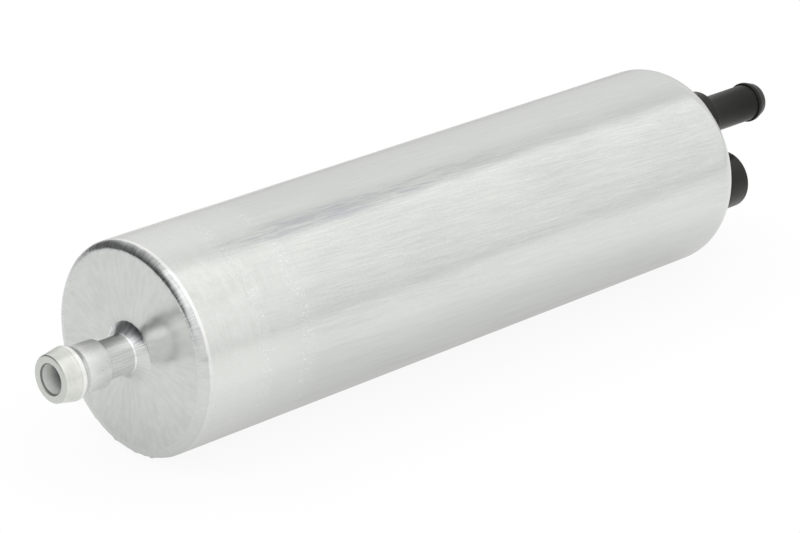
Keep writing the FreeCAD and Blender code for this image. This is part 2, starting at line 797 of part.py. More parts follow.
def make_lamination_stack():
    """Stack of slotted steel laminations."""
    body = new_body("lamination_stack")
    turned(body, "blank", rectangle("0", SHAFT_HOLE, STACK_LENGTH, STACK_RADIUS))
    low, bottom_half, shoulder, top_half, top, mouth = slot_outline("0.0")
    rim = f"{STACK_RADIUS} + slot_mouth"
    sketch = new_sketch(body, "slot_outline", "YZ_Plane")
    draw_outline(
        sketch,
        [
            (low, f"-{bottom_half}"),
            (shoulder, f"-{top_half}"),
            (top, f"-{mouth}"),
            (rim, f"-{mouth}"),
            (rim, mouth),
            (top, mouth),
            (shoulder, top_half),
            (low, bottom_half),
        ],
    )
    slot = pocketed(body, "slot", sketch, STACK_LENGTH)
    repeated(body, "slots", slot, "slots")
    return keep(body, "lamination_stack", STACK_AT)


def winding_head(body, name, start):
    """The ring of crossing wires at one end of the stack."""
    sketch = new_sketch(body, f"{name}_outline", "YZ_Plane", ahead=start)
    draw_outline(sketch, sided_ring(f"{STACK_RADIUS} - winding_inset"))
    draw_outline(sketch, sided_ring("winding_inner"))
    return padded(body, name, sketch, "winding_head_width")


def make_windings():
    """Copper windings: wire in every slot, and the heads where it crosses at both ends."""
    body = new_body("armature_windings")
    gap = "winding_clearance"
    full = f"({STACK_LENGTH} + 2 * winding_overhang)"
    winding_head(body, "inlet_head", None)
    low, bottom_half, shoulder, top_half, top, mouth = slot_outline(gap)
    sketch = new_sketch(body, "slot_fill_outline", "YZ_Plane", ahead="winding_head_width / 2")
    outline = [
        (low, f"-{bottom_half}"),
        (shoulder, f"-{top_half}"),
        (top, f"-{mouth}"),
        (top, mouth),
        (shoulder, top_half),
        (low, bottom_half),
    ]
    draw_outline(sketch, outline)
    bundle = padded(body, "slot_fill", sketch, f"{full} - winding_head_width")
    repeated(body, "slot_fills", bundle, "slots")
    winding_head(body, "outlet_head", f"{full} - winding_head_width")
    return keep(body, "armature_windings", f"{STACK_AT} - winding_overhang")


def make_commutator():
    """Moulded core with a flat side to each copper bar, and the bars with their hooks."""
    core = new_body("commutator_core")
    sketch = new_sketch(core, "core_outline", "YZ_Plane")
    draw_outline(sketch, sided_ring("commutator_core"))
    draw_circle(sketch, "0", "0", SHAFT_HOLE)
    padded(core, "core", sketch, "commutator_length")
    keep(core, "commutator_core", COMMUTATOR_AT)

    bars = round(value("slots"))
    half_turn = math.pi / bars
    inner = value("commutator_core") * math.cos(half_turn)
    outer = value("commutator_dia / 2")
    half_slit = value("commutator_slit / 2")
    length = value("commutator_length")
    foot = inner * math.tan(half_turn) - half_slit
    turn = half_turn - half_slit / outer
    near = Vector(0, outer * math.cos(turn), -outer * math.sin(turn))
    far = Vector(0, near.y, -near.z)
    sides = [
        Part.Arc(near, Vector(0, outer, 0), far).toShape(),
        Part.makeLine(far, Vector(0, inner, foot)),
        Part.makeLine(Vector(0, inner, foot), Vector(0, inner, -foot)),
        Part.makeLine(Vector(0, inner, -foot), near),
    ]
    plain_bar = Part.Face(Part.Wire(sides)).extrude(X_AXIS * length)
    wide = value("commutator_hook_width")
    middle = (inner + outer) / 2
    reach = outer + value("commutator_hook") - middle
    hook = Part.makeBox(wide, reach, wide, Vector(0, middle, -wide / 2))
    bar = plain_bar.fuse(hook)
    ring = []
    for number in range(bars):
        turned_bar = bar.copy()
        turned_bar.rotate(Vector(), X_AXIS, 360.0 * number / bars)
        ring.append(turned_bar)
    return shape_piece("commutator_bars", Part.makeCompound(ring), COMMUTATOR_AT)


def make_brush_holder():
    """Moulded holder: a web with fuel windows, the end bush's hub, and the two tunnels that the
    brush tubes sit in."""
    body = new_body("brush_holder")
    web_end = "holder_web_at + holder_web"
    hub_end = "holder_web_at + holder_hub_length"
    bush_seat = "end_bush_dia / 2 + seat_clearance"
    corners = [
        ("holder_web_at", bush_seat),
        (hub_end, bush_seat),
        (hub_end, "holder_hub_dia / 2"),
        (web_end, "holder_hub_dia / 2"),
        (web_end, FLUX_OUTSIDE),
        ("holder_web_at", FLUX_OUTSIDE),
    ]
    turned(body, "web_and_hub", corners)
    block_start = "brush_at - tunnel_width / 2"
    half = "tunnel_depth / 2"
    block = new_sketch(body, "block_outline", "YZ_Plane", ahead=block_start)
    inner = f"{BRUSH_TUBE_START} + tunnel_setback"
    outer = f"{BRUSH_TUBE_END} - tunnel_end_inset"
    draw_outline(block, rectangle(inner, f"-{half}", outer, half))
    walls = padded(body, "block", block, f"holder_web_at + holder_web / 2 - ({block_start})")
    mirrored(body, "blocks", [walls], "XZ_Plane")
    wide = "(brush_axial / 2 + slip_clearance + brush_tube_wall + seat_clearance)"
    tall = "(brush_across / 2 + slip_clearance + brush_tube_wall + seat_clearance)"
    opening = new_sketch(
        body, "tunnel_outline", "XZ_Plane", ahead=f"-{BRUSH_TUBE_END} - seat_clearance"
    )
    draw_outline(opening, rectangle(f"brush_at - {wide}", f"-{tall}", f"brush_at + {wide}", tall))
    tunnel = pocketed(body, "tunnel", opening, BRUSH_TUBE_END)
    mirrored(body, "tunnels", [tunnel], "XZ_Plane")
    window = new_sketch(body, "window_outline", "YZ_Plane", ahead="holder_web_at")
    low = "window_first_angle - window_half_angle"
    high = "window_first_angle + window_half_angle"
    outer = f"{FLUX_INSIDE} - window_rim"
    corners = [
        on_circle("window_inner", low),
        on_circle(outer, low),
        on_circle(outer, high),
        on_circle("window_inner", high),
    ]
    draw_outline(window, corners)
    hole = pocketed(body, "window", window, "holder_web")
    repeated(body, "windows", hole, "windows", "window_step_angle * (windows - 1)")
    lead = new_sketch(body, "lead_outline", "YZ_Plane", ahead="brush_at")
    half = "choke_lead_slot / 2"
    height = "choke_coil_dia / 2 - choke_drop"
    low = (f"{CHOKE_ACROSS} - {half}", f"{height} - {half}")
    draw_outline(lead, rectangle(*low, f"{CHOKE_ACROSS} + {half}", f"{height} + {half}"))
    slot = pocketed(body, "lead_slot", lead, "holder_web_at + holder_web - brush_at")
    mirrored(body, "lead_slots", [slot], "XZ_Plane")
    keep(body, "brush_holder", HOLDER_AT)

    bush_place = f"{HOLDER_AT} + holder_web_at"
    bush_radius = "end_bush_dia / 2"
    plain_ring("end_bush", bush_place, SHAFT_HOLE, bush_radius, "end_bush_width")


def bound_box(name, low, size):
    """A box with each corner distance and each side bound to the sheet."""
    box = document.addObject("Part::Box", name)
    for side, text in zip(("Length", "Width", "Height"), size):
        box.setExpression(side, bound(text))
    for axis, text in zip("xyz", low):
        box.setExpression(f"Placement.Base.{axis}", bound(text))
    return box


def cut_of(name, base, tool):
    """One primitive cut from another."""
    result = document.addObject("Part::Cut", name)
    result.Base = base
    result.Tool = tool
    return result


def make_brushes():
    """Carbon brushes, the brass tubes that guide and feed them, and their springs."""
    place = f"{HOLDER_AT} + brush_at"
    wide = "(brush_axial / 2 + slip_clearance)"
    tall = "(brush_across / 2 + slip_clearance)"
    wall = "brush_tube_wall"
    for side, sign in (("left", 1), ("right", -1)):

        def across(low, high):
            """Start and length along Y of a stretch on this side."""
            start = low if sign > 0 else f"-({high})"
            return start, f"{high} - ({low})"

        start, length = across("commutator_dia / 4", BRUSH_BACK)
        low = ("-brush_axial / 2", start, "-brush_across / 2")
        block = bound_box(f"brush_block_{side}", low, ("brush_axial", length, "brush_across"))
        curve = document.addObject("Part::Cylinder", f"brush_face_{side}")
        curve.setExpression("Radius", bound(BRUSH_FACE))
        curve.setExpression("Height", bound("2 * brush_axial"))
        curve.Placement.Rotation = Rotation(Vector(0, 1, 0), 90)
        curve.setExpression("Placement.Base.x", bound("-brush_axial"))
        keep(cut_of(f"brush_cut_{side}", block, curve), f"brush_{side}", place)

        start, length = across(BRUSH_TUBE_START, BRUSH_TUBE_END)
        low = (f"-{wide} - {wall}", start, f"-{tall} - {wall}")
        size = (f"2 * ({wide} + {wall})", length, f"2 * ({tall} + {wall})")
        outer = bound_box(f"tube_outside_{side}", low, size)
        inside_end = f"{BRUSH_TUBE_END} - brush_tube_end"
        start, length = across(f"{BRUSH_TUBE_START} - overlap", inside_end)
        low = (f"-{wide}", start, f"-{tall}")
        inner = bound_box(f"tube_inside_{side}", low, (f"2 * {wide}", length, f"2 * {tall}"))
        keep(cut_of(f"tube_cut_{side}", outer, inner), f"brush_tube_{side}", place)

        rest = "(brush_wire / 2 + spring_clearance)"
        low_end = f"({BRUSH_BACK} + {rest})"
        length = value(f"{inside_end} - {rest} - {low_end}")
        turns = value("brush_turns")
        spring = coil(value("brush_coil_dia / 2"), length, turns, value("brush_wire"))
        spring.rotate(Vector(), Vector(0, 0, 1), 90 * sign)
        start, _ = across(low_end, low_end)
        shape_piece(f"brush_spring_{side}", spring, place, start)


def make_chokes():
    """Ferrite cores with wound coils, each fed through the web from its brush tube."""
    core_start = "holder_web_at + holder_web"
    radius = value("choke_coil_dia / 2")
    wire = value("choke_wire")
    coil_start = value("holder_web_at + holder_web + choke_coil_start")
    turns = value("choke_turns") + 0.5
    length = turns * value("choke_pitch")
    tube_side = value(
        "brush_at + brush_axial / 2 + slip_clearance + brush_tube_wall + seat_clearance"
    )
    foot = value("holder_web_at + holder_web + blade_foot_at")
    winding = coil(radius, length, turns, wire, start_angle=math.pi / 2)
    winding.translate(X_AXIS * coil_start)

    def lead(start, end, height):
        corner = Vector(start, -wire / 2, height - wire / 2)
        return Part.makeBox(end - start, wire, wire, corner)

    half = wire / 2
    inner_lead = lead(tube_side, coil_start + half, radius)
    outer_lead = lead(coil_start + length - half, foot, -radius)
    wound = winding.fuse([inner_lead, outer_lead])
    for side, sign in (("left", ""), ("right", "-")):
        core = document.addObject("Part::Cylinder", f"choke_rod_{side}")
        core.setExpression("Radius", bound("choke_core_dia / 2"))
        core.setExpression("Height", bound("choke_core_length"))
        core.Placement = FreeCAD.Placement(Vector(), Rotation(Vector(0, 1, 0), 90))
        place = f"{HOLDER_AT} + {core_start}"
        across = f"{sign}{CHOKE_ACROSS}"
        keep(core, f"choke_core_{side}", place, across, "-choke_drop")
        shape_piece(f"choke_coil_{side}", wound.copy(), HOLDER_AT, across, "-choke_drop")


def stadium(radius, drop, half_span):
    """Outline of a slot with round ends, lying along Y and dropped below the axis."""
    high = f"-{drop} + {radius}"
    low = f"-{drop} - {radius}"
    return [
        (half_span, low, radius),
        (f"{half_span} + {radius}", f"-{drop}", radius),
        (half_span, high),
        (f"-{half_span}", high, radius),
        (f"-{half_span} - {radius}", f"-{drop}", radius),
        (f"-{half_span}", low),
    ]


def make_end_cap():
    """Moulded cap: the plug under the rolled edge, the outlet nipple with the valve chamber in
    its collar, and the plug socket."""
    body = new_body("end_cap")
    rim = "(cap_skirt + curl_round)"
    face = f"({rim} + cap_boss_rise)"
    shoulder = "(curl_round - can_wall - cap_fit)"
    curl_centre = ("cap_skirt", "can_dia / 2 - curl_round")
    plug = [
        ("0", SKIRT_INSIDE),
        ("cap_floor_at", SKIRT_INSIDE),
        ("cap_floor_at", "0"),
        (face, "0"),
        (face, f"{curl_centre[1]} + {shoulder} * cos(curl_angle)"),
        *chords(curl_centre, shoulder, "curl_angle", "0", 1),
        ("0", CAP_OUTSIDE),
    ]
    turned(body, "plug", plug)
    collar_end = f"({rim} + outlet_collar_end)"
    tip = f"({rim} + outlet_end)"
    crest = "outlet_barb_dia / 2"
    nipple = [
        (f"{face} - overlap", "0"),
        (tip, "0"),
        (tip, "outlet_tip_dia / 2"),
        (f"{tip} - outlet_barb_length + outlet_barb_land", crest),
        (f"{tip} - outlet_barb_length", crest),
        (f"{tip} - outlet_barb_length", "outlet_stem_dia / 2"),
        (collar_end, "outlet_stem_dia / 2"),
        (collar_end, "outlet_collar_dia / 2"),
        (f"{face} - overlap", "outlet_collar_dia / 2"),
    ]
    turned(body, "outlet_nipple", nipple, above="outlet_height")
    shroud = new_sketch(body, "shroud_outline", "YZ_Plane", ahead=f"{face} - overlap")
    draw_outline(shroud, stadium(SOCKET_RADIUS, "socket_drop", "socket_half_span"))
    padded(body, "shroud", shroud, "socket_end - cap_boss_rise + overlap")
    socket_floor = f"({rim} + socket_end - socket_depth)"
    socket = new_sketch(body, "socket_outline", "YZ_Plane", ahead=socket_floor)
    inner = f"({SOCKET_RADIUS} - socket_wall)"
    draw_outline(socket, stadium(inner, "socket_drop", "socket_half_span"))
    pocketed(body, "socket", socket, "socket_depth")
    key = new_sketch(body, "key_outline", "YZ_Plane", ahead=f"{socket_floor} - socket_wall / 2")
    bottom = f"-socket_drop - {inner}"
    half = "socket_key_width / 2"
    corners = rectangle(f"-{half}", f"{bottom} - socket_wall / 2", half, f"{bottom} + socket_key_rise")
    draw_outline(key, corners)
    padded(body, "key", key, "socket_depth - socket_wall")
    bore_end = f"{tip} + overlap"
    chamber = "valve_chamber_dia / 2"
    bore = [
        ("cap_floor_at - overlap", "0"),
        (bore_end, "0"),
        (bore_end, "outlet_bore / 2"),
        ("valve_chamber_end", "outlet_bore / 2"),
        ("valve_chamber_end", chamber),
        (VALVE_FACE, chamber),
        (VALVE_FACE, "valve_seat_dia / 2"),
        ("cap_floor_at - overlap", "valve_seat_dia / 2"),
    ]
    turned(body, "outlet_bore", bore, above="outlet_height", cut=True)
    slot = new_sketch(body, "blade_slot", "YZ_Plane", ahead="cap_floor_at - overlap")
    wide = "(blade_thickness / 2 + blade_slot_clearance)"
    tall = "(blade_width / 2 + blade_slot_clearance)"
    middle = "blade_spacing / 2"
    corners = rectangle(
        f"{middle} - {wide}", f"-socket_drop - {tall}", f"{middle} + {wide}", f"-socket_drop + {tall}"
    )
    draw_outline(slot, corners)
    opening = pocketed(body, "slot", slot, f"{socket_floor} - cap_floor_at + 2 * overlap")
    mirrored(body, "slots", [opening], "XZ_Plane")
    return keep(body, "end_cap", CAP_AT)


def make_check_valve():
    """Seat, winged poppet and spring that hold the fuel in the line when the pump stops."""
    seat = new_body("check_valve_seat")
    hole = "valve_seat_hole / 2"
    fit = "valve_seat_dia / 2 - seat_clearance"
    turned(seat, "ring", rectangle("0", hole, "valve_seat_width", fit))
    keep(seat, "check_valve_seat", f"{CAP_AT} + cap_floor_at", height="outlet_height")
    back = "poppet_head"
    place = f"{CAP_AT} + {VALVE_FACE} + seat_clearance"
    body = new_body("check_valve_poppet")
    turned(body, "head", rectangle("0", "0", back, "poppet_dia / 2"))
    wing_length = f"(valve_chamber_end + poppet_wing_end - {VALVE_FACE} - {back})"
    wing = new_sketch(body, "wing_outline", "YZ_Plane", ahead=back)
    half = "poppet_wing / 2"
    reach = "poppet_wing_dia / 2"
    draw_outline(wing, rectangle(f"-{reach}", f"-{half}", reach, half))
    blade = padded(body, "wing", wing, wing_length)
    repeated(body, "wings", blade, "2", "90")
    keep(body, "check_valve_poppet", place, height="outlet_height")
    rest = "(valve_wire / 2 + spring_clearance)"
    start = f"{place} + {back} + {rest}"
    length = value(f"valve_chamber_end - {VALVE_FACE} - seat_clearance - {back} - 2 * ({rest})")
    turns = value("valve_turns")
    spring = coil(value("valve_coil_dia / 2"), length, turns, value("valve_wire"))
    shape_piece("check_valve_spring", spring, start, height="outlet_height")


def make_terminals():
    """Two blades through the cap's floor, each with a foot that its choke is soldered to, and
    the capacitor between them."""
    blade_end = "(cap_skirt + curl_round + socket_end - socket_depth + blade_reach)"
    drop = "socket_drop"
    foot_end = f"{CHOKE_ACROSS} + blade_foot_past"
    for side, sign in (("positive", 1), ("negative", -1)):
        body = new_body(f"terminal_{side}")
        sketch = new_sketch(body, "strip_outline", "XY_Plane")
        near = "(blade_spacing / 2 - blade_thickness / 2)"
        far = "(blade_spacing / 2 + blade_thickness / 2)"
        corners = [
            ("blade_foot_at", near),
            (f"{blade_end} - blade_tip", near),
            (blade_end, f"{near} + blade_thickness / 4"),
            (blade_end, f"{far} - blade_thickness / 4"),
            (f"{blade_end} - blade_tip", far),
            ("blade_foot_at + blade_thickness", far),
            ("blade_foot_at + blade_thickness", foot_end),
            ("blade_foot_at", foot_end),
        ]
        if sign < 0:
            corners = [(x, f"-({y})") for x, y in corners]
        draw_outline(sketch, corners)
        strip = padded(body, "strip", sketch, "blade_width")
        strip.Midplane = True
        keep(body, f"terminal_{side}", CAP_AT, height=f"-{drop}")
    case = bound_box(
        "capacitor_case",
        ("0", "-capacitor_width / 2", "-capacitor_height / 2"),
        ("capacitor_length", "capacitor_width", "capacitor_height"),
    )
    leads = bound_box(
        "capacitor_leads",
        ("capacitor_lead_at", "blade_thickness / 2 - blade_spacing / 2", "-capacitor_lead / 2"),
        ("capacitor_lead", "blade_spacing - blade_thickness", "capacitor_lead"),
    )
    whole = document.addObject("Part::Fuse", "capacitor_whole")
    whole.Base = case
    whole.Tool = leads
    keep(whole, "capacitor", f"{CAP_AT} + capacitor_at", height=f"-{drop}")


def write_parts():
    """Recompute, make sure that nothing failed, and write each piece to its own file."""
    document.recompute()
    for item in document.Objects:
        if "Invalid" in item.State or "Error" in item.State:
            raise RuntimeError(f"{item.Label} failed: {item.State}")
    for piece in pieces:
        if piece.Shape.isNull() or not piece.Shape.isValid() or not piece.Shape.Solids:
            raise RuntimeError(f"{piece.Label} has no valid solid")
    os.makedirs("parts", exist_ok=True)
    for piece in pieces:
        piece.Shape.exportStep(os.path.join("parts", f"{piece.Label}.step"))
        solids = len(piece.Shape.Solids)
        print(f"{piece.Label}: {solids} solid(s), {piece.Shape.Volume:.1f} mm3")


make_can()
make_strainer()
make_pump_cover()
make_pump_housing()
make_outer_rotor()
make_inner_rotor()
make_relief_valve()
make_shaft()
make_flux_tube()
make_magnet_clips()
make_lamination_stack()
make_windings()
make_commutator()
make_brush_holder()
make_brushes()
make_chokes()
make_end_cap()
make_check_valve()
make_terminals()
write_parts()
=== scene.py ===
"""Visual model of the electric fuel pump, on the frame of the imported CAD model.

Shapes are worked out in millimetres and degrees, and materials in metres and radians.
"""
import math

import bmesh
import bpy
from mathutils import Matrix, Vector, noise


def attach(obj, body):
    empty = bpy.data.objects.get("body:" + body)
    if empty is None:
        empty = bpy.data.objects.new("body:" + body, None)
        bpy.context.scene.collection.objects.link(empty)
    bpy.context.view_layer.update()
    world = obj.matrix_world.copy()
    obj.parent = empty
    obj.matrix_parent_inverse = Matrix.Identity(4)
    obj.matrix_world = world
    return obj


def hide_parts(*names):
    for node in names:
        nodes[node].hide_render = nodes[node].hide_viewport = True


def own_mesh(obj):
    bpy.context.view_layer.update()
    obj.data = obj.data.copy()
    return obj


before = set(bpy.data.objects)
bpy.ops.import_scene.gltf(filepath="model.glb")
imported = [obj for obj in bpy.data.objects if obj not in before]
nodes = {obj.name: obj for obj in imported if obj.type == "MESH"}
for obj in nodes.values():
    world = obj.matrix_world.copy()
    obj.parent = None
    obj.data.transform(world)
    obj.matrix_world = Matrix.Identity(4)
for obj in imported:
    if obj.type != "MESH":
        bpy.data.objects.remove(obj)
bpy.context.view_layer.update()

MM = 0.001
SAME_POINT = 1e-6

# Can, with its edges
CAN_RADIUS = 21.5
CAN_LENGTH = 154.7
CAN_WALL = 1.5
CAN_BASE = 3.0
EDGE_ROUND = 2.06
EDGE_CREASE = 77.0
CURL_ROUND = 5.9
CURL_ANGLE = 70.0
FACE_RINGS = (8.0, 12.0, 16.0, 19.4)
SIDE_STATIONS = (3.0, *(10.0 * step for step in range(1, 15)))
CAN_SEGMENTS = 288

# Suction nipple, with its stations measured out from the can's face
SUCTION_LENGTH = 19.1
SUCTION_BORE = 2.9
SUCTION_LIP = 0.4
SUCTION_LIP_ROUND = 0.2
SUCTION_TIP = 4.75
SUCTION_BEVEL = 0.35
SUCTION_BARB = 5.4
BARB_AT = 15.0
BARB_CREST = 1.0
BARB_LAND = 0.35
BARB_BACK = 28.0
ROOT_RADIUS = 4.77
ROOT_START = 8.0
ROOT_END = 13.2
ROOT_ROUND = 0.25
NECK_RADIUS = 3.87
NECK_FILLET = 0.2
FLARE_TOE = 0.9
FLARE_RADIUS = 6.25
FLARE_START = 36.0
FLARE_END = 72.0

# Cap, with its stations measured from its inner end
CAP_SKIRT = 14.8
CAP_SKIRT_INNER = 16.5
CAP_FLOOR = 14.0
CAP_FACE = 20.9
CAP_FIT = 0.05
CAP_BOSS_ROUND = 0.4
CAP_SEGMENTS = 160
CAP_ROOTED = 0.6

# Outlet nipple and the valve's bore
NIPPLE_HEIGHT = 7.1
NIPPLE_SEGMENTS = 96
COLLAR_RADIUS = 6.15
COLLAR_END = 31.4
COLLAR_FILLET = 0.7
COLLAR_ROUND = 0.5
STEM_RADIUS = 4.07
STEM_FILLET = 0.3
OUTLET_BARB = 4.44
OUTLET_BARB_START = 46.8
OUTLET_BARB_LAND = 0.8
OUTLET_BARB_ROUND = 0.15
OUTLET_CREST = 0.4
OUTLET_SLOPE = 14
OUTLET_TIP = 3.8
OUTLET_TIP_ROUND = 0.35
OUTLET_END = 49.95
OUTLET_BORE = 2.5
OUTLET_LIP = 0.45
OUTLET_LIP_DEPTH = 0.25
CHAMBER_RADIUS = 4.1
CHAMBER_END = 29.0
VALVE_FACE = 17.0
SEAT_RADIUS = 4.4

# Plug socket, its key and the slots for its blades
SOCKET_DROP = 7.65
SOCKET_RADIUS = 6.4
SOCKET_HALF_SPAN = 3.5
SOCKET_WALL = 1.5
SOCKET_END = 37.45
SOCKET_FLOOR = 20.1
SOCKET_FILLET = (0.6, 0.25, 0.08, 0.0)
SOCKET_RIM_ROUND = 0.45
SOCKET_LIP = ((-0.3, 0.0), (-0.1, 0.08), (0.2, 0.45))
KEY_WIDTH = 2.0
KEY_RISE = 1.0
KEY_SUNK = 0.5
KEY_SETBACK = 2.2
BLADE_ACROSS = 4.0
BLADE_THICKNESS = 0.8
BLADE_WIDTH = 4.8
BLADE_FIT = 0.02

# How far a cutting shape reaches past the surface that it cuts
CUT_PAST = 1.0
BORE_PAST = 0.2

# Where the can's closed face and the cap's inner end lie along X
FACE_AT = -77.35
CAP_AT = FACE_AT + 134.0

# Burrs left on the edge, as (degrees from -Y toward +Z, height), and their width in degrees
BURRS = [(-124.0, 0.16), (-106.0, 0.2), (-90.5, 0.14), (-83.0, 0.12), (-77.5, 0.3)]
BURR_WIDTH = 1.3

# Where they stand on the round of the edge, in degrees from the radial direction
BURR_LEAN = 38.0
BURR_LEAN_WIDTH = 16.0

# Height of the waves along the edge, and how close they follow each other
EDGE_WAVE = 0.05
EDGE_WAVE_SCALE = 0.9

# Angles from -Y toward +Z: the line of scuffs, the scratched side, where shade is painted on the
# neck's top
SCUFF_ANGLE = math.radians(63.5)
SCRATCHED = (math.radians(12.0), math.radians(62.0))
NECK_SHADE_ANGLES = (math.radians(92.0), math.radians(104.0))

# Zones of the side along X: the steps from satin to drawn, the rings of flecks, the scuffs
SATIN_STEPS = ((-0.061, -0.055), (-0.051, -0.042))
SATIN_SWAY = 0.008
FLECK_RINGS = (-0.0617, -0.0512)
FLECK_RING_FADE = (0.0022, 0.0008)
SCUFF_FADE_IN = (-0.068, -0.06)
SCUFF_FADE_OUT = (0.03, -0.01)

# Turn of the scratches about X, per metre
SCRATCH_TWIST = -2.4

# The flare's border, by the distance from the axis, and the band along X where a highlight is
# painted on the edge
FLARE_BORDER = (0.00615, 0.0063)
RIM_HIGHLIGHT_BAND = (-0.0760, -0.0757)
RIM_HIGHLIGHT_SWAY = 0.0003

# Colours, as (darkest, lightest) where a pattern mixes two
SATIN = ((0.71, 0.725, 0.695, 1.0), (0.85, 0.86, 0.83, 1.0))
DRAWN = ((0.625, 0.64, 0.62, 1.0), (0.785, 0.795, 0.765, 1.0))
FLECK = (0.95, 0.96, 0.94, 1.0)
SCUFF = (0.48, 0.505, 0.55, 1.0)
FACE = ((0.604, 0.619, 0.594, 1.0), (0.672, 0.687, 0.662, 1.0))
FLARE_LOW = ((0.62, 0.635, 0.61, 1.0), (0.68, 0.69, 0.67, 1.0))
# Painted reflection on the flare's top: darker darks and lighter lines
FLARE_TOP_PAINTED_REFLECTION = ((0.5, 0.51, 0.53, 1.0), (0.82, 0.825, 0.83, 1.0))
RIM_LOW = ((0.63, 0.645, 0.62, 1.0), (0.68, 0.695, 0.67, 1.0))
# Painted dark reflection on the rim's top
RIM_TOP_PAINTED_REFLECTION = ((0.52, 0.53, 0.53, 1.0), (0.74, 0.75, 0.74, 1.0))
# Painted highlight: a white line along the edge
RIM_PAINTED_HIGHLIGHT = (0.97, 0.97, 0.96, 1.0)
NECK = ((0.78, 0.79, 0.79, 1.0), (0.98, 0.98, 0.97, 1.0))
# Painted shade on the neck's top
NECK_PAINTED_SHADE = ((0.3, 0.31, 0.33, 1.0), (0.5, 0.51, 0.53, 1.0))
ROOT = ((0.86, 0.87, 0.86, 1.0), (0.93, 0.94, 0.92, 1.0))
TIP = ((0.71, 0.725, 0.675, 1.0), (0.82, 0.83, 0.78, 1.0))
# Painted highlight along the barb's crest
TIP_CREST_HIGHLIGHT = (0.96, 0.965, 0.94, 1.0)
TIP_END = (0.6, 0.615, 0.58, 1.0)
BORE = ((0.9, 0.91, 0.87, 1.0), (0.97, 0.98, 0.95, 1.0))
# Painted shade deep in the bore and at its chamfer
BORE_DEPTH_SHADE = (0.14, 0.17, 0.17, 1.0)
BORE_CHAMFER_SHADE = (0.16, 0.17, 0.15, 1.0)
INSIDE = ((0.42, 0.44, 0.43, 1.0), (0.62, 0.63, 0.6, 1.0))
CAP = ((0.0045, 0.005, 0.0025), (0.009, 0.0096, 0.0055))
CAP_ROUGH = (0.28, 0.38)
CAP_GLOSS = 0.23
FLOOR = (0.97, 0.97, 0.97, 1.0)
WHITE = (1.0, 1.0, 1.0, 1.0)

# Studio light, as (degrees from the horizon on the camera's side up and over to the back, level)
SIDE_LEVELS = [
    (-10.0, 0.9), (0.0, 0.86), (7.0, 0.93), (17.0, 0.94), (31.0, 0.98), (47.0, 0.99),
    (63.0, 1.01), (78.0, 1.07), (87.0, 1.1), (92.0, 0.92), (98.0, 0.79), (106.0, 0.82),
    (114.0, 0.88), (124.0, 0.92), (143.0, 0.88), (160.0, 0.84), (178.0, 0.76), (190.0, 0.7),
]
FRONT_LEVELS = [
    (0.0, 1.0), (30.0, 1.02), (48.0, 1.2), (60.0, 1.5), (78.0, 1.48), (92.0, 1.18),
    (104.0, 0.7), (118.0, 0.4), (132.0, 0.27), (150.0, 0.17), (172.0, 0.13), (180.0, 0.2),
]

# Camera: its axes, where it sees the origin in millimetres (right, down, ahead), and its lens
CAMERA_RIGHT = Vector((0.70998, -0.7044, 0.0))
CAMERA_UP = Vector((0.25557, 0.2577, 0.932))
CAMERA_BACK = Vector((-0.65622, -0.6617, 0.363))
CAMERA_ORIGIN = Vector((3.90, -3.80, 658.5))
CAMERA_LENS = 144.97
CAMERA_SENSOR = 36.0
CAMERA_CLIP = 0.01


def arc(centre, radius, start, end, steps):
    """Points of an arc on a profile of (station, radius), at angles from the radial direction."""
    points = []
    for step in range(steps + 1):
        angle = math.radians(start + (end - start) * step / steps)
        points.append(
            (centre[0] + radius * math.sin(angle), centre[1] + radius * math.cos(angle))
        )
    return points


def finished(name, mesh, materials, sharp=32.0):
    """Object of a mesh, smooth except at its sharp edges."""
    for material in materials:
        mesh.materials.append(material)
    mesh.shade_smooth()
    mesh.set_sharp_from_angle(angle=math.radians(sharp))
    piece = bpy.data.objects.new(name, mesh)
    bpy.context.scene.collection.objects.link(piece)
    return piece


def mesh_of(name, shape):
    """Mesh of a finished bmesh, which is freed."""
    mesh = bpy.data.meshes.new(name)
    shape.to_mesh(mesh)
    shape.free()
    return mesh


def lathe_rings(shape, points, start, height, segments):
    """A ring of vertices for each (station, radius) point, or one vertex on the axis."""
    rings = []
    for station, radius in points:
        x = (start + station) * MM
        if radius < SAME_POINT:
            rings.append([shape.verts.new((x, 0.0, height * MM))])
            continue
        ring = []
        for step in range(segments):
            angle = 2.0 * math.pi * step / segments
            y = radius * math.cos(angle) * MM
            z = (height + radius * math.sin(angle)) * MM
            ring.append(shape.verts.new((x, y, z)))
        rings.append(ring)
    return rings


def lathe_mesh(name, sections, start, segments, height=0.0, closed=False):
    """Turns a profile of (material, points) sections about a line along X."""
    profile = []
    for material, points in sections:
        for point in points:
            if not profile or math.dist(point, profile[-1][1]) >= SAME_POINT:
                profile.append((material, point))
    shape = bmesh.new()
    rings = lathe_rings(shape, [point for material, point in profile], start, height, segments)
    pairs = list(zip(rings, rings[1:]))
    tags = [material for material, point in profile[1:]]
    if closed:
        pairs.append((rings[-1], rings[0]))
        tags.append(profile[0][0])
    for (low, high), tag in zip(pairs, tags):
        if len(low) == 1 and len(high) == 1:
            continue
        for step in range(segments):
            after = (step + 1) % segments
            if len(low) == 1:
                corners = (low[0], high[after], high[step])
            elif len(high) == 1:
                corners = (low[step], low[after], high[0])
            else:
                corners = (low[step], low[after], high[after], high[step])
            shape.faces.new(corners).material_index = tag
    bmesh.ops.recalc_face_normals(shape, faces=shape.faces)
    return mesh_of(name, shape)


def socket_outline(radius, steps=24):
    """Outline with round ends along Y, as (y, z) in millimetres."""
    points = []
    for side, start in ((1.0, -90.0), (-1.0, 90.0)):
        for step in range(steps + 1):
            angle = math.radians(start + 180.0 * step / steps)
            y = side * SOCKET_HALF_SPAN + radius * math.cos(angle)
            points.append((y, -SOCKET_DROP + radius * math.sin(angle)))
    return points


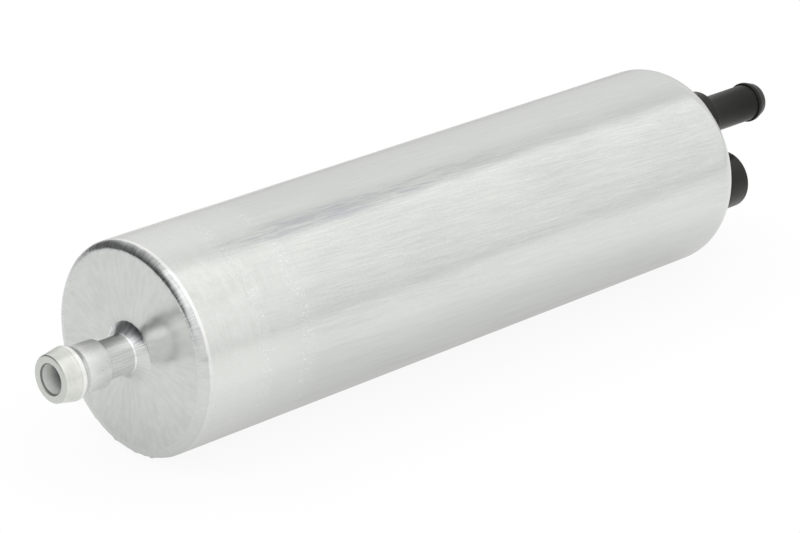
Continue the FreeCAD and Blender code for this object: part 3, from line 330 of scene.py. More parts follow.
def lofted_mesh(name, layers, start):
    """Closed solid through outlines with as many points each; a layer is (station, outline)."""
    shape = bmesh.new()
    rings = []
    for station, outline in layers:
        x = (start + station) * MM
        rings.append([shape.verts.new((x, y * MM, z * MM)) for y, z in outline])
    count = len(rings[0])
    for low, high in zip(rings, rings[1:]):
        for step in range(count):
            after = (step + 1) % count
            shape.faces.new((low[step], low[after], high[after], high[step]))
    shape.faces.new(rings[0])
    shape.faces.new(rings[-1])
    bmesh.ops.recalc_face_normals(shape, faces=shape.faces)
    return mesh_of(name, shape)


def box_mesh(name, low, high):
    """Closed box between two corners in millimetres."""
    shape = bmesh.new()
    bmesh.ops.create_cube(shape, size=1.0)
    for vert in shape.verts:
        for axis in range(3):
            vert.co[axis] = (high[axis] if vert.co[axis] > 0 else low[axis]) * MM
    return mesh_of(name, shape)


def combined(name, first, steps):
    """Mesh after exact Boolean steps of (operation, mesh) on the first mesh."""
    target = bpy.data.objects.new(name, first)
    bpy.context.scene.collection.objects.link(target)
    for operation, mesh in steps:
        tool = bpy.data.objects.new("tool", mesh)
        bpy.context.scene.collection.objects.link(tool)
        modifier = target.modifiers.new("step", "BOOLEAN")
        modifier.operation = operation
        modifier.solver = "EXACT"
        modifier.object = tool
        depsgraph = bpy.context.evaluated_depsgraph_get()
        result = bpy.data.meshes.new_from_object(target.evaluated_get(depsgraph))
        target.modifiers.clear()
        target.data = result
        bpy.data.objects.remove(tool)
    result = target.data
    bpy.data.objects.remove(target)
    return result


def add(tree, kind, inputs=None, **settings):
    """Adds a shader node; an input is a number, a colour or another node's output."""
    node = tree.nodes.new(kind)
    for name, value in settings.items():
        setattr(node, name, value)
    for key, value in (inputs or {}).items():
        if isinstance(value, bpy.types.NodeSocket):
            tree.links.new(value, node.inputs[key])
        else:
            node.inputs[key].default_value = value
    return node


def calc(tree, operation, *values, clamp=False):
    """Result of a Math node."""
    inputs = dict(enumerate(values))
    return add(tree, "ShaderNodeMath", inputs, operation=operation, use_clamp=clamp).outputs[0]


def times(tree, first, second):
    """Product of two values."""
    return calc(tree, "MULTIPLY", first, second)


def spread(tree, value, low, high, to_low=0.0, to_high=1.0):
    """The value's range from low to high, spread over another range and clamped."""
    inputs = {
        "Value": value,
        "From Min": low,
        "From Max": high,
        "To Min": to_low,
        "To Max": to_high,
    }
    return add(tree, "ShaderNodeMapRange", inputs).outputs[0]


def weighed(tree, first, first_weight, second, second_weight):
    """Weighted sum of two values."""
    return calc(tree, "ADD", times(tree, first, first_weight), times(tree, second, second_weight))


def between(tree, share, low, high):
    """Value between two others, by share."""
    return add(tree, "ShaderNodeMix", {0: share, 2: low, 3: high}).outputs[0]


def mixed(tree, share, low, high):
    """Colour between two others, by share."""
    inputs = {0: share, 6: low, 7: high}
    return add(tree, "ShaderNodeMix", inputs, data_type="RGBA").outputs[2]


def scaled(tree, vector, factors):
    """Vector with each part times its factor."""
    inputs = {0: vector, 1: factors}
    return add(tree, "ShaderNodeVectorMath", inputs, operation="MULTIPLY").outputs[0]


def noise_of(tree, vector, scale=1.0, detail=2.0, rough=0.5):
    """Noise with the same scale along every axis, per metre."""
    inputs = {"Vector": vector, "Scale": scale, "Detail": detail, "Roughness": rough}
    return add(tree, "ShaderNodeTexNoise", inputs).outputs[0]


def streaks(tree, vector, scales, detail=2.0, rough=0.5):
    """Noise with its own scale along each axis, per metre; a small scale makes it run long."""
    return noise_of(tree, scaled(tree, vector, scales), detail=detail, rough=rough)


def started(name, **sockets):
    """Empty material with a Principled shader; returns it, its tree, shader and position."""
    material = bpy.data.materials.new(name)
    material.use_nodes = True
    tree = material.node_tree
    shader = tree.nodes["Principled BSDF"]
    for key, value in sockets.items():
        shader.inputs[key.replace("_", " ")].default_value = value
    place = add(tree, "ShaderNodeTexCoord").outputs["Object"]
    return material, tree, shader, place


def surfaced(tree, shader, colour, rough, height, depth):
    """Gives the shader a colour, a roughness and a bump of that depth in metres."""
    tree.links.new(colour, shader.inputs["Base Color"])
    tree.links.new(rough, shader.inputs["Roughness"])
    inputs = {"Height": height, "Distance": depth, "Strength": 1.0}
    normal = add(tree, "ShaderNodeBump", inputs).outputs[0]
    tree.links.new(normal, shader.inputs["Normal"])


def along(tree, vector):
    """Part of the vector along X."""
    return add(tree, "ShaderNodeSeparateXYZ", {0: vector}).outputs[0]


def apart(tree, value, centre):
    """Distance of a value from a centre."""
    return calc(tree, "ABSOLUTE", calc(tree, "SUBTRACT", value, centre))


def angle_of(tree, vector):
    """Angle about the X axis, from -Y toward +Z."""
    parts = add(tree, "ShaderNodeSeparateXYZ", {0: vector})
    return calc(tree, "ARCTAN2", parts.outputs[2], times(tree, parts.outputs[1], -1.0))


def around_axis(tree, place, rays, rings):
    """Pattern space around the X axis, and the distance from it."""
    flat = scaled(tree, place, (0.0, 1.0, 1.0))
    unit = add(tree, "ShaderNodeVectorMath", {0: flat}, operation="NORMALIZE").outputs[0]
    distance = add(tree, "ShaderNodeVectorMath", {0: flat}, operation="LENGTH").outputs["Value"]
    outward = add(tree, "ShaderNodeCombineXYZ", {0: times(tree, distance, rings)})
    inputs = {0: scaled(tree, unit, (0.0, rays, rays)), 1: outward.outputs[0]}
    space = add(tree, "ShaderNodeVectorMath", inputs, operation="ADD").outputs[0]
    return space, distance


def side_pattern(tree, place, twisted, drawn):
    """Marks of the satin zone, and the marks of the whole side with scratches on the drawn part."""
    satin = noise_of(tree, place, scale=1500.0, detail=4.0)
    mottle = noise_of(tree, place, scale=420.0, detail=3.0)
    turned = streaks(tree, place, (1300.0, 110.0, 110.0))
    near = weighed(tree, weighed(tree, satin, 0.4, mottle, 0.6), 0.7, turned, 0.3)
    fine = streaks(tree, twisted, (150.0, 3000.0, 3000.0), rough=0.6)
    broad = streaks(tree, twisted, (60.0, 1300.0, 1300.0), detail=3.0, rough=0.6)
    grain = streaks(tree, place, (2400.0, 1700.0, 1700.0))
    lines = weighed(tree, weighed(tree, fine, 0.6, broad, 0.4), 0.72, grain, 0.28)
    return near, between(tree, drawn, near, lines)


def side_contrast(tree, place, angle, pattern):
    """Share of the light colour: the marks at full contrast only on the scratched side."""
    low_edge = spread(tree, angle, SCRATCHED[0] - 0.25, SCRATCHED[0] + 0.1)
    high_edge = spread(tree, angle, SCRATCHED[1] + 0.12, SCRATCHED[1] - 0.06)
    contrast = spread(tree, times(tree, low_edge, high_edge), 0.0, 1.0, to_low=0.4)
    cloud = streaks(tree, place, (40.0, 110.0, 110.0), detail=3.0)
    share = spread(tree, weighed(tree, pattern, 1.0, cloud, 0.35), 0.47, 0.87)
    return between(tree, contrast, 0.5, share)


def side_flecks(tree, place, x):
    """Share of the bright flecks, which lie in two rings round the can."""
    ring = 0.0
    for centre in FLECK_RINGS:
        ring = calc(tree, "MAXIMUM", ring, spread(tree, apart(tree, x, centre), *FLECK_RING_FADE))
    flecks = streaks(tree, place, (2200.0, 2600.0, 2600.0), detail=1.0)
    return times(tree, times(tree, spread(tree, flecks, 0.58, 0.7), ring), 0.55)


def side_scuffs(tree, twisted, x, angle):
    """Share of the dark scuff marks, which lie in a line along the can."""
    ends = times(tree, spread(tree, x, *SCUFF_FADE_IN), spread(tree, x, *SCUFF_FADE_OUT))
    band = times(tree, spread(tree, apart(tree, angle, SCUFF_ANGLE), 0.15, 0.05), ends)
    scratch = streaks(tree, twisted, (150.0, 3400.0, 3400.0), detail=4.0, rough=0.7)
    smudge = streaks(tree, twisted, (60.0, 300.0, 300.0))
    scuff = spread(tree, weighed(tree, scratch, 0.65, smudge, 0.35), 0.47, 0.58)
    return times(tree, times(tree, scuff, band), 0.66)


def can_side_material():
    """Drawn aluminium: fine scratches with a slight twist, and a satin zone by the closed end."""
    material, tree, shader, place = started("can_side", Metallic=1.0)
    x = along(tree, place)
    angle = angle_of(tree, place)
    turn = {"Vector": place, "Angle": times(tree, x, SCRATCH_TWIST)}
    twisted = add(tree, "ShaderNodeVectorRotate", turn, rotation_type="X_AXIS").outputs[0]
    border = streaks(tree, place, (40.0, 150.0, 150.0), detail=3.0)
    station = calc(tree, "ADD", x, times(tree, border, SATIN_SWAY))
    first_step, second_step = (spread(tree, station, *step) for step in SATIN_STEPS)
    drawn = weighed(tree, first_step, 0.45, second_step, 0.55)
    near, pattern = side_pattern(tree, place, twisted, drawn)
    dark, light = (mixed(tree, drawn, satin, far) for satin, far in zip(SATIN, DRAWN))
    colour = mixed(tree, side_contrast(tree, place, angle, pattern), dark, light)
    colour = mixed(tree, side_flecks(tree, place, x), colour, FLECK)
    colour = mixed(tree, side_scuffs(tree, twisted, x, angle), colour, SCUFF)
    smear = streaks(tree, twisted, (45.0, 700.0, 700.0), detail=4.0, rough=0.65)
    near_rough = spread(tree, near, 0.35, 0.65, to_low=0.22, to_high=0.3)
    drawn_rough = spread(tree, smear, 0.38, 0.62, to_low=0.13, to_high=0.26)
    rough = between(tree, drawn, near_rough, drawn_rough)
    surfaced(tree, shader, colour, rough, pattern, depth=0.000006)
    return material


def can_face_material():
    """Pressed aluminium face with soft marks that run outward, and the flare at its middle, with a
    darker reflection and lighter lines painted on the flare's top.
    """
    material, tree, shader, place = started("can_face")
    space, distance = around_axis(tree, place, rays=15.0, rings=300.0)
    ray = noise_of(tree, space, detail=3.0, rough=0.55)
    cloud = noise_of(tree, place, scale=190.0, detail=3.0)
    pattern = weighed(tree, ray, 0.6, cloud, 0.4)
    flat = mixed(tree, spread(tree, pattern, 0.39, 0.61), *FACE)
    flat_rough = spread(tree, pattern, 0.35, 0.65, to_low=0.17, to_high=0.23)
    line = around_axis(tree, place, rays=30.0, rings=60.0)[0]
    line = noise_of(tree, line, detail=3.0, rough=0.6)
    # The flare's top is painted with a darker reflection and lighter lines, by the angle about the
    # axis
    upper = spread(tree, angle_of(tree, place), 0.25, 0.8)
    dark, light = (mixed(tree, upper, low, top) for low, top in zip(FLARE_LOW, FLARE_TOP_PAINTED_REFLECTION))
    flare = mixed(tree, spread(tree, line, 0.42, 0.6), dark, light)
    flare_rough = spread(tree, line, 0.3, 0.7, to_low=0.12, to_high=0.24)
    out = spread(tree, distance, *FLARE_BORDER)
    tree.links.new(between(tree, out, 1.0, 0.78), shader.inputs["Metallic"])
    rough = between(tree, out, flare_rough, flat_rough)
    surfaced(tree, shader, mixed(tree, out, flare, flat), rough, pattern, depth=0.000001)
    return material


def can_rim_material():
    """Edge of the face, burnished by the tool, with short marks across it, a dark reflection
    painted on its top and a highlight painted as a white line.
    """
    material, tree, shader, place = started("can_rim", Metallic=1.0)
    mark = around_axis(tree, place, rays=62.0, rings=300.0)[0]
    mark = noise_of(tree, mark, detail=4.0, rough=0.7)
    patch = around_axis(tree, place, rays=14.0, rings=500.0)[0]
    patch = noise_of(tree, patch, detail=3.0, rough=0.6)
    share = spread(tree, weighed(tree, mark, 0.7, patch, 0.3), 0.38, 0.62)
    # A dark reflection is painted on the rim's top, by the angle about the axis
    upper = spread(tree, angle_of(tree, place), -0.1, 0.5)
    dark, light = (mixed(tree, upper, low, top) for low, top in zip(RIM_LOW, RIM_TOP_PAINTED_REFLECTION))
    # A highlight is painted as a white line along the edge, stronger towards the top
    station = calc(tree, "ADD", along(tree, place), times(tree, patch, RIM_HIGHLIGHT_SWAY))
    painted_highlight = spread(tree, station, *RIM_HIGHLIGHT_BAND)
    painted_highlight = times(tree, painted_highlight, spread(tree, upper, 0.0, 1.0, to_low=0.35))
    colour = mixed(tree, painted_highlight, mixed(tree, share, dark, light), RIM_PAINTED_HIGHLIGHT)
    rough = spread(tree, mark, 0.35, 0.65, to_low=0.14, to_high=0.32)
    surfaced(tree, shader, colour, rough, weighed(tree, mark, 0.6, patch, 0.4), depth=0.000016)
    return material


def can_neck_material():
    """Bright turned aluminium of the neck, with lines along it, and shade painted darker on its
    top.
    """
    material, tree, shader, place = started("can_neck", Metallic=0.84)
    lines = streaks(tree, place, (110.0, 3400.0, 3400.0), detail=4.0, rough=0.65)
    share = spread(tree, lines, 0.36, 0.66)
    # Shade painted darker on the neck's top, by the angle about the axis
    top = spread(tree, angle_of(tree, place), *NECK_SHADE_ANGLES)
    colour = mixed(tree, top, mixed(tree, share, *NECK), mixed(tree, share, *NECK_PAINTED_SHADE))
    rough = spread(tree, lines, 0.3, 0.7, to_low=0.12, to_high=0.24)
    surfaced(tree, shader, colour, rough, lines, depth=0.00001)
    return material


def can_root_material():
    """Satin ring at the foot of the barb."""
    material, tree, shader, place = started("can_root", Metallic=0.7)
    lines = streaks(tree, place, (260.0, 700.0, 700.0))
    colour = mixed(tree, spread(tree, lines, 0.35, 0.65), *ROOT)
    rough = spread(tree, lines, 0.3, 0.7, to_low=0.27, to_high=0.31)
    surfaced(tree, shader, colour, rough, lines, depth=0.0000005)
    return material


def can_tip_material():
    """Frosted aluminium of the barb, with fine rings from the lathe and a highlight painted pale
    along the crest.
    """
    material, tree, shader, place = started("can_tip", Metallic=0.8)
    rings = streaks(tree, place, (4200.0, 110.0, 110.0))
    cloud = noise_of(tree, place, scale=520.0, detail=3.0)
    pattern = weighed(tree, rings, 0.4, cloud, 0.6)
    colour = mixed(tree, spread(tree, pattern, 0.36, 0.64), *TIP)
    x = along(tree, place)
    # A highlight is painted pale in a ring along the crest
    crest = spread(tree, apart(tree, x, (FACE_AT - BARB_AT) * MM), 0.0006, 0.0003)
    colour = mixed(tree, crest, colour, TIP_CREST_HIGHLIGHT)
    nose = (FACE_AT - SUCTION_LENGTH) * MM
    colour = mixed(tree, spread(tree, x, nose + 0.00025, nose + 0.0001), colour, TIP_END)
    rough = spread(tree, pattern, 0.3, 0.7, to_low=0.2, to_high=0.28)
    surfaced(tree, shader, colour, rough, rings, depth=0.00001)
    return material


def can_bore_material():
    """Pale, frosted wall of the suction bore, with shade painted dark at its chamfer and in its
    depth.
    """
    material, tree, shader, place = started("can_bore")
    rings = streaks(tree, place, (1500.0, 160.0, 160.0), detail=3.0)
    colour = mixed(tree, spread(tree, rings, 0.35, 0.65), *BORE)
    x = along(tree, place)
    mouth = (FACE_AT - SUCTION_LENGTH) * MM
    # Shade painted darker deeper in the bore
    colour = mixed(tree, spread(tree, x, mouth + 0.002, mouth + 0.005), colour, BORE_DEPTH_SHADE)
    # Shade painted dark at the chamfer of the bore's mouth
    chamfer = spread(tree, x, mouth + 0.00055, mouth + 0.00035)
    colour = mixed(tree, chamfer, colour, BORE_CHAMFER_SHADE)
    rough = spread(tree, rings, 0.3, 0.7, to_low=0.3, to_high=0.42)
    surfaced(tree, shader, colour, rough, rings, depth=0.00002)
    return material


def can_inside_material():
    """Dull aluminium inside the can."""
    material, tree, shader, place = started("can_inside", Metallic=1.0)
    rings = streaks(tree, place, (1800.0, 60.0, 60.0), detail=3.0)
    rough = spread(tree, rings, 0.3, 0.7, to_low=0.3, to_high=0.45)
    surfaced(tree, shader, mixed(tree, rings, *INSIDE), rough, rings, depth=0.00002)
    return material


def plastic_material(name, dark, light, rough_low, rough_high, gloss=0.5):
    """Moulded plastic with a fine grain and faint flow marks."""
    material, tree, shader, place = started(name, Specular_IOR_Level=gloss)
    grain = noise_of(tree, place, scale=2600.0, detail=3.0)
    flow = streaks(tree, place, (90.0, 240.0, 240.0), detail=3.0)
    share = spread(tree, weighed(tree, grain, 0.4, flow, 0.6), 0.35, 0.65)
    colour = mixed(tree, share, (*dark, 1.0), (*light, 1.0))
    rough = spread(tree, grain, 0.3, 0.7, rough_low, rough_high)
    surfaced(tree, shader, colour, rough, grain, depth=0.00002)
    return material


def metal_material(name, dark, light, rough_low, rough_high, scales, depth):
    """Bare metal with marks of its own scale along each axis, and that depth."""
    material, tree, shader, place = started(name, Metallic=1.0)
    lines = streaks(tree, place, scales, detail=4.0, rough=0.6)
    cloud = noise_of(tree, place, scale=130.0, detail=3.0)
    share = spread(tree, weighed(tree, lines, 0.6, cloud, 0.4), 0.34, 0.66)
    colour = mixed(tree, share, (*dark, 1.0), (*light, 1.0))
    rough = spread(tree, lines, 0.3, 0.7, rough_low, rough_high)
    surfaced(tree, shader, colour, rough, lines, depth)
    return material


def raise_burrs(mesh):
    """Draws a few points of the edge out into burrs, and makes the edge a little uneven."""
    edge = CAN_RADIUS - EDGE_ROUND
    crease = edge + EDGE_ROUND * math.cos(math.radians(EDGE_CREASE))
    for vert in mesh.vertices:
        x, y, z = (part / MM for part in vert.co)
        radius = math.hypot(y, z)
        station = x - FACE_AT
        if station < -0.01 or station > EDGE_ROUND or radius < crease + 0.1:
            continue
        out = Vector((station - EDGE_ROUND, y - edge * y / radius, z - edge * z / radius))
        out.normalize()
        height = EDGE_WAVE * noise.noise(Vector((x, y, z)) * EDGE_WAVE_SCALE)
        angle = math.degrees(math.atan2(z, -y))
        lean = math.degrees(math.atan2(EDGE_ROUND - station, radius - edge))
        across = (lean - BURR_LEAN) / BURR_LEAN_WIDTH
        for burr_angle, size in BURRS:
            beside = (angle - burr_angle) / BURR_WIDTH
            height += size * math.exp(-beside * beside - across * across)
        vert.co += out * height * MM


def flare_arcs():
    """The arc at the flare's toe and the arc that runs out into the face, as centre and radius."""
    start = math.radians(FLARE_START)
    end = math.radians(FLARE_END)
    toe_rise = FLARE_TOE * (1 - math.cos(start))
    radius = (FLARE_RADIUS - NECK_RADIUS - toe_rise) / (math.cos(start) - math.cos(end))
    centre = (-radius * math.sin(end), FLARE_RADIUS + radius * math.cos(end))
    joint = centre[0] + radius * math.sin(start)
    toe_centre = (joint - FLARE_TOE * math.sin(start), NECK_RADIUS + FLARE_TOE)
    return (toe_centre, FLARE_TOE), (centre, radius)


def make_can_shell(materials):
    """Can with its suction nipple and the edge that is rolled in over the cap."""
    side, face, rim, neck, root, tip, bore, inside = range(8)
    slope = math.degrees(math.atan2(SUCTION_BARB - SUCTION_TIP, SUCTION_LENGTH - BARB_AT))
    crest_front = (-BARB_AT - BARB_LAND / 2, SUCTION_BARB - BARB_CREST)
    crest_back = (-BARB_AT + BARB_LAND / 2, SUCTION_BARB - BARB_CREST)
    back_foot = (-ROOT_END, ROOT_RADIUS + BARB_CREST)
    root_front = (-ROOT_START - ROOT_ROUND, ROOT_RADIUS - ROOT_ROUND)
    neck_foot = (-ROOT_START + NECK_FILLET, NECK_RADIUS + NECK_FILLET)
    nose = (-SUCTION_LENGTH + SUCTION_BEVEL, SUCTION_TIP - SUCTION_BEVEL)
    toe, flare = flare_arcs()
    edge_centre = (EDGE_ROUND * math.sin(math.radians(EDGE_CREASE)), CAN_RADIUS - EDGE_ROUND)
    curl_centre = (CAN_LENGTH - CURL_ROUND, CAN_RADIUS - CURL_ROUND)
    mouth = (-SUCTION_LENGTH + SUCTION_LIP_ROUND, SUCTION_BORE + SUCTION_LIP)
    lip = arc(mouth, SUCTION_LIP_ROUND, -150, -90, steps=4)
    sections = [
        (inside, [(CAN_BASE, SUCTION_BORE)]),
        (bore, [(-SUCTION_LENGTH + SUCTION_LIP, SUCTION_BORE), lip[0]]),
        (tip, lip),
        (tip, arc(nose, SUCTION_BEVEL, -90, -slope, steps=6)),
        (tip, arc(crest_front, BARB_CREST, -slope, 0, steps=4)),
        (tip, arc(crest_back, BARB_CREST, 0, BARB_BACK, steps=6)),
        (root, arc(back_foot, BARB_CREST, 180 + BARB_BACK, 180, steps=6)),
        (root, arc(root_front, ROOT_ROUND, 0, 90, steps=4)),
        (neck, arc(neck_foot, NECK_FILLET, 270, 180, steps=3)),
        (neck, arc(*toe, 180, 180 - FLARE_START, steps=5)),
        (face, arc(*flare, 180 - FLARE_START, 180 - FLARE_END, steps=10)),
        (face, [(0.0, radius) for radius in FACE_RINGS]),
        (rim, arc(edge_centre, EDGE_ROUND, -EDGE_CREASE, 0, steps=12)),
        (side, [(station, CAN_RADIUS) for station in SIDE_STATIONS]),
        (side, arc(curl_centre, CURL_ROUND, 0, CURL_ANGLE, steps=20)),
        (side, arc(curl_centre, CURL_ROUND - CAN_WALL, CURL_ANGLE, 0, steps=12)),
        (inside, [(CAN_BASE, CAN_RADIUS - CAN_WALL)]),
    ]
    mesh = lathe_mesh("can_shell", sections, FACE_AT, CAN_SEGMENTS, closed=True)
    raise_burrs(mesh)
    shell = finished("can_shell", mesh, materials)
    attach(shell, "housing")
    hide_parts("can")


def cap_plug():
    """The cap's body, which fits the can under its rolled edge."""
    shoulder = CURL_ROUND - CAN_WALL - CAP_FIT
    curl_centre = (CAP_SKIRT, CAN_RADIUS - CURL_ROUND)
    boss = curl_centre[1] + shoulder * math.cos(math.radians(CURL_ANGLE))
    boss_centre = (CAP_FACE - CAP_BOSS_ROUND, boss - CAP_BOSS_ROUND)
    points = [
        (0.0, CAP_SKIRT_INNER),
        (CAP_FLOOR, CAP_SKIRT_INNER),
        (CAP_FLOOR, 0.0),
        (CAP_FACE, 0.0),
        *arc(boss_centre, CAP_BOSS_ROUND, 90, 0, steps=5),
        *arc(curl_centre, shoulder, CURL_ANGLE, 0, steps=8),
    ]
    return lathe_mesh("plug", [(0, points)], CAP_AT, CAP_SEGMENTS, closed=True)


def outlet_nipple():
    """The outlet nipple on its collar, rooted in the cap."""
    base = CAP_FACE - CAP_ROOTED
    fillet_centre = (CAP_FACE + COLLAR_FILLET, COLLAR_RADIUS + COLLAR_FILLET)
    collar_centre = (COLLAR_END - COLLAR_ROUND, COLLAR_RADIUS - COLLAR_ROUND)
    stem_foot = (COLLAR_END + STEM_FILLET, STEM_RADIUS + STEM_FILLET)
    barb_foot = (OUTLET_BARB_START - OUTLET_BARB_ROUND, STEM_RADIUS + OUTLET_BARB_ROUND)
    barb_edge = (OUTLET_BARB_START + OUTLET_BARB_ROUND, OUTLET_BARB - OUTLET_BARB_ROUND)
    crest = (OUTLET_BARB_START + OUTLET_BARB_LAND, OUTLET_BARB - OUTLET_CREST)
    tip = (OUTLET_END - OUTLET_TIP_ROUND, OUTLET_TIP - OUTLET_TIP_ROUND)
    points = [
        (base, 0.0),
        (base, COLLAR_RADIUS + COLLAR_FILLET),
        *arc(fillet_centre, COLLAR_FILLET, 270, 180, steps=5),
        *arc(collar_centre, COLLAR_ROUND, 0, 90, steps=5),
        *arc(stem_foot, STEM_FILLET, 270, 180, steps=4),
        *arc(barb_foot, OUTLET_BARB_ROUND, 180, 90, steps=3),
        *arc(barb_edge, OUTLET_BARB_ROUND, -90, 0, steps=3),
        *arc(crest, OUTLET_CREST, 0, OUTLET_SLOPE, steps=2),
        *arc(tip, OUTLET_TIP_ROUND, OUTLET_SLOPE, 90, steps=5),
        (OUTLET_END, 0.0),
    ]
    return lathe_mesh("nipple", [(0, points)], CAP_AT, NIPPLE_SEGMENTS, NIPPLE_HEIGHT)


def outlet_bore():
    """The valve seat's pocket, the valve's chamber and the bore through the outlet nipple."""
    start = CAP_FLOOR - CUT_PAST
    end = OUTLET_END + BORE_PAST
    points = [
        (start, 0.0),
        (start, SEAT_RADIUS),
        (VALVE_FACE, SEAT_RADIUS),
        (VALVE_FACE, CHAMBER_RADIUS),
        (CHAMBER_END, CHAMBER_RADIUS),
        (CHAMBER_END, OUTLET_BORE),
        (OUTLET_END - OUTLET_LIP_DEPTH, OUTLET_BORE),
        (end, OUTLET_BORE + OUTLET_LIP),
        (end, 0.0),
    ]
    return lathe_mesh("bore", [(0, points)], CAP_AT, NIPPLE_SEGMENTS, NIPPLE_HEIGHT)


def plug_shroud():
    """The plug socket's outside, with a fillet at the cap and a round rim."""
    foot = SOCKET_FILLET[0]
    layers = [(CAP_FACE - CAP_ROOTED, socket_outline(SOCKET_RADIUS + foot))]
    for grow in SOCKET_FILLET:
        layers.append((CAP_FACE + foot - grow, socket_outline(SOCKET_RADIUS + grow)))
    for angle in (0, 30, 60, 90):
        inset = SOCKET_RIM_ROUND * (1 - math.cos(math.radians(angle)))
        rise = SOCKET_RIM_ROUND * math.sin(math.radians(angle))
        ahead = SOCKET_END - SOCKET_RIM_ROUND + rise
        layers.append((ahead, socket_outline(SOCKET_RADIUS - inset)))
    return lofted_mesh("shroud", layers, CAP_AT)


def make_cap_moulding(materials):
    """Cap moulding with the outlet nipple and the plug socket."""
    inner = SOCKET_RADIUS - SOCKET_WALL
    layers = [(SOCKET_FLOOR, socket_outline(inner))]
    for ahead, grow in SOCKET_LIP:
        layers.append((SOCKET_END + ahead, socket_outline(inner + grow)))
    bottom = -SOCKET_DROP - inner
    key = box_mesh(
        "key",
        (CAP_AT + SOCKET_FLOOR - KEY_SUNK, -KEY_WIDTH / 2, bottom - KEY_SUNK),
        (CAP_AT + SOCKET_END - KEY_SETBACK, KEY_WIDTH / 2, bottom + KEY_RISE),
    )
    steps = [
        ("UNION", outlet_nipple()),
        ("UNION", plug_shroud()),
        ("DIFFERENCE", lofted_mesh("socket", layers, CAP_AT)),
        ("UNION", key),
        ("DIFFERENCE", outlet_bore()),
    ]
    wide = BLADE_THICKNESS / 2 + BLADE_FIT
    tall = BLADE_WIDTH / 2 + BLADE_FIT
    start = CAP_AT + CAP_FLOOR - CUT_PAST
    end = CAP_AT + SOCKET_FLOOR + CUT_PAST
    for across in (-BLADE_ACROSS, BLADE_ACROSS):
        low = (start, across - wide, -SOCKET_DROP - tall)
        high = (end, across + wide, -SOCKET_DROP + tall)
        steps.append(("DIFFERENCE", box_mesh("slot", low, high)))
    mesh = combined("cap_moulding", cap_plug(), steps)
    mesh.name = "cap_moulding"
    mesh.materials.clear()
    cap = finished("cap_moulding", mesh, materials)
    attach(cap, "housing")
    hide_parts("end_cap")


def dress_nodes():
    """Gives every CAD node that stays a material of its own kind."""
    # Scales of the marks along each axis, per metre
    even = (900.0, 900.0, 900.0)
    drawn = (60.0, 1800.0, 1800.0)
    turned = (2400.0, 70.0, 70.0)
    woven = (2400.0, 2400.0, 2400.0)
    wound = (1500.0, 1500.0, 300.0)
    # Darkest and lightest colour, least and most roughness, scales and depth of the marks
    metals = {
        "mesh_steel": ((0.3, 0.31, 0.32), (0.62, 0.63, 0.64), 0.3, 0.5, woven, 0.0001),
        "pump_iron": ((0.27, 0.27, 0.28), (0.42, 0.42, 0.43), 0.35, 0.5, even, 0.00002),
        "rotor_steel": ((0.52, 0.53, 0.55), (0.68, 0.69, 0.7), 0.2, 0.34, turned, 0.00001),
        "tube_steel": ((0.52, 0.53, 0.5), (0.7, 0.7, 0.66), 0.28, 0.42, drawn, 0.00001),
        "spring_steel": ((0.42, 0.43, 0.45), (0.62, 0.63, 0.65), 0.22, 0.36, even, 0.00001),
        "magnet_ferrite": ((0.07, 0.07, 0.075), (0.14, 0.14, 0.145), 0.5, 0.7, even, 0.00003),
        "stack_steel": ((0.28, 0.29, 0.31), (0.46, 0.47, 0.49), 0.3, 0.46, turned, 0.00004),
        "copper": ((0.48, 0.19, 0.09), (0.78, 0.4, 0.2), 0.2, 0.36, wound, 0.00005),
        "bronze": ((0.5, 0.33, 0.15), (0.7, 0.5, 0.26), 0.4, 0.55, even, 0.00003),
        "sheet_brass": ((0.66, 0.5, 0.22), (0.82, 0.66, 0.34), 0.24, 0.38, drawn, 0.00001),
        "blade_metal": ((0.64, 0.6, 0.5), (0.8, 0.77, 0.68), 0.22, 0.36, drawn, 0.00001),
    }
    # Darkest and lightest colour, least and most roughness
    plastics = {
        "carbon": ((0.03, 0.03, 0.03), (0.08, 0.08, 0.08), 0.6, 0.8),
        "moulding_dark": ((0.05, 0.045, 0.04), (0.1, 0.09, 0.08), 0.4, 0.55),
        "valve_plastic": ((0.74, 0.73, 0.68), (0.86, 0.85, 0.8), 0.3, 0.42),
        "capacitor_case": ((0.55, 0.36, 0.08), (0.72, 0.52, 0.16), 0.25, 0.4),
    }
    finishes = {name: metal_material(name, *look) for name, look in metals.items()}
    finishes.update({name: plastic_material(name, *look) for name, look in plastics.items()})
    for node in nodes.values():
        for place, material in enumerate(node.data.materials):
            slot = material.name.split(".")[0]
            if slot in finishes:
                node.data.materials[place] = finishes[slot]


def make_springs():
    """Coil springs, copied from the CAD springs and fixed to the housing."""
    springs = {
        "relief_valve_spring": ("relief_valve_lift", (-1.0, 0.0, 0.0)),
        "check_valve_spring": ("check_valve_lift", (1.0, 0.0, 0.0)),
        "brush_spring_left": ("brush_left_slide", (0.0, 1.0, 0.0)),
        "brush_spring_right": ("brush_right_slide", (0.0, -1.0, 0.0)),
    }
    for name, (joint, direction) in springs.items():
        wire = bpy.data.objects.new(f"{name}_wire", nodes[name].data.copy())
        bpy.context.scene.collection.objects.link(wire)
        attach(wire, "housing")
        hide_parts(name)
        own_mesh(wire)


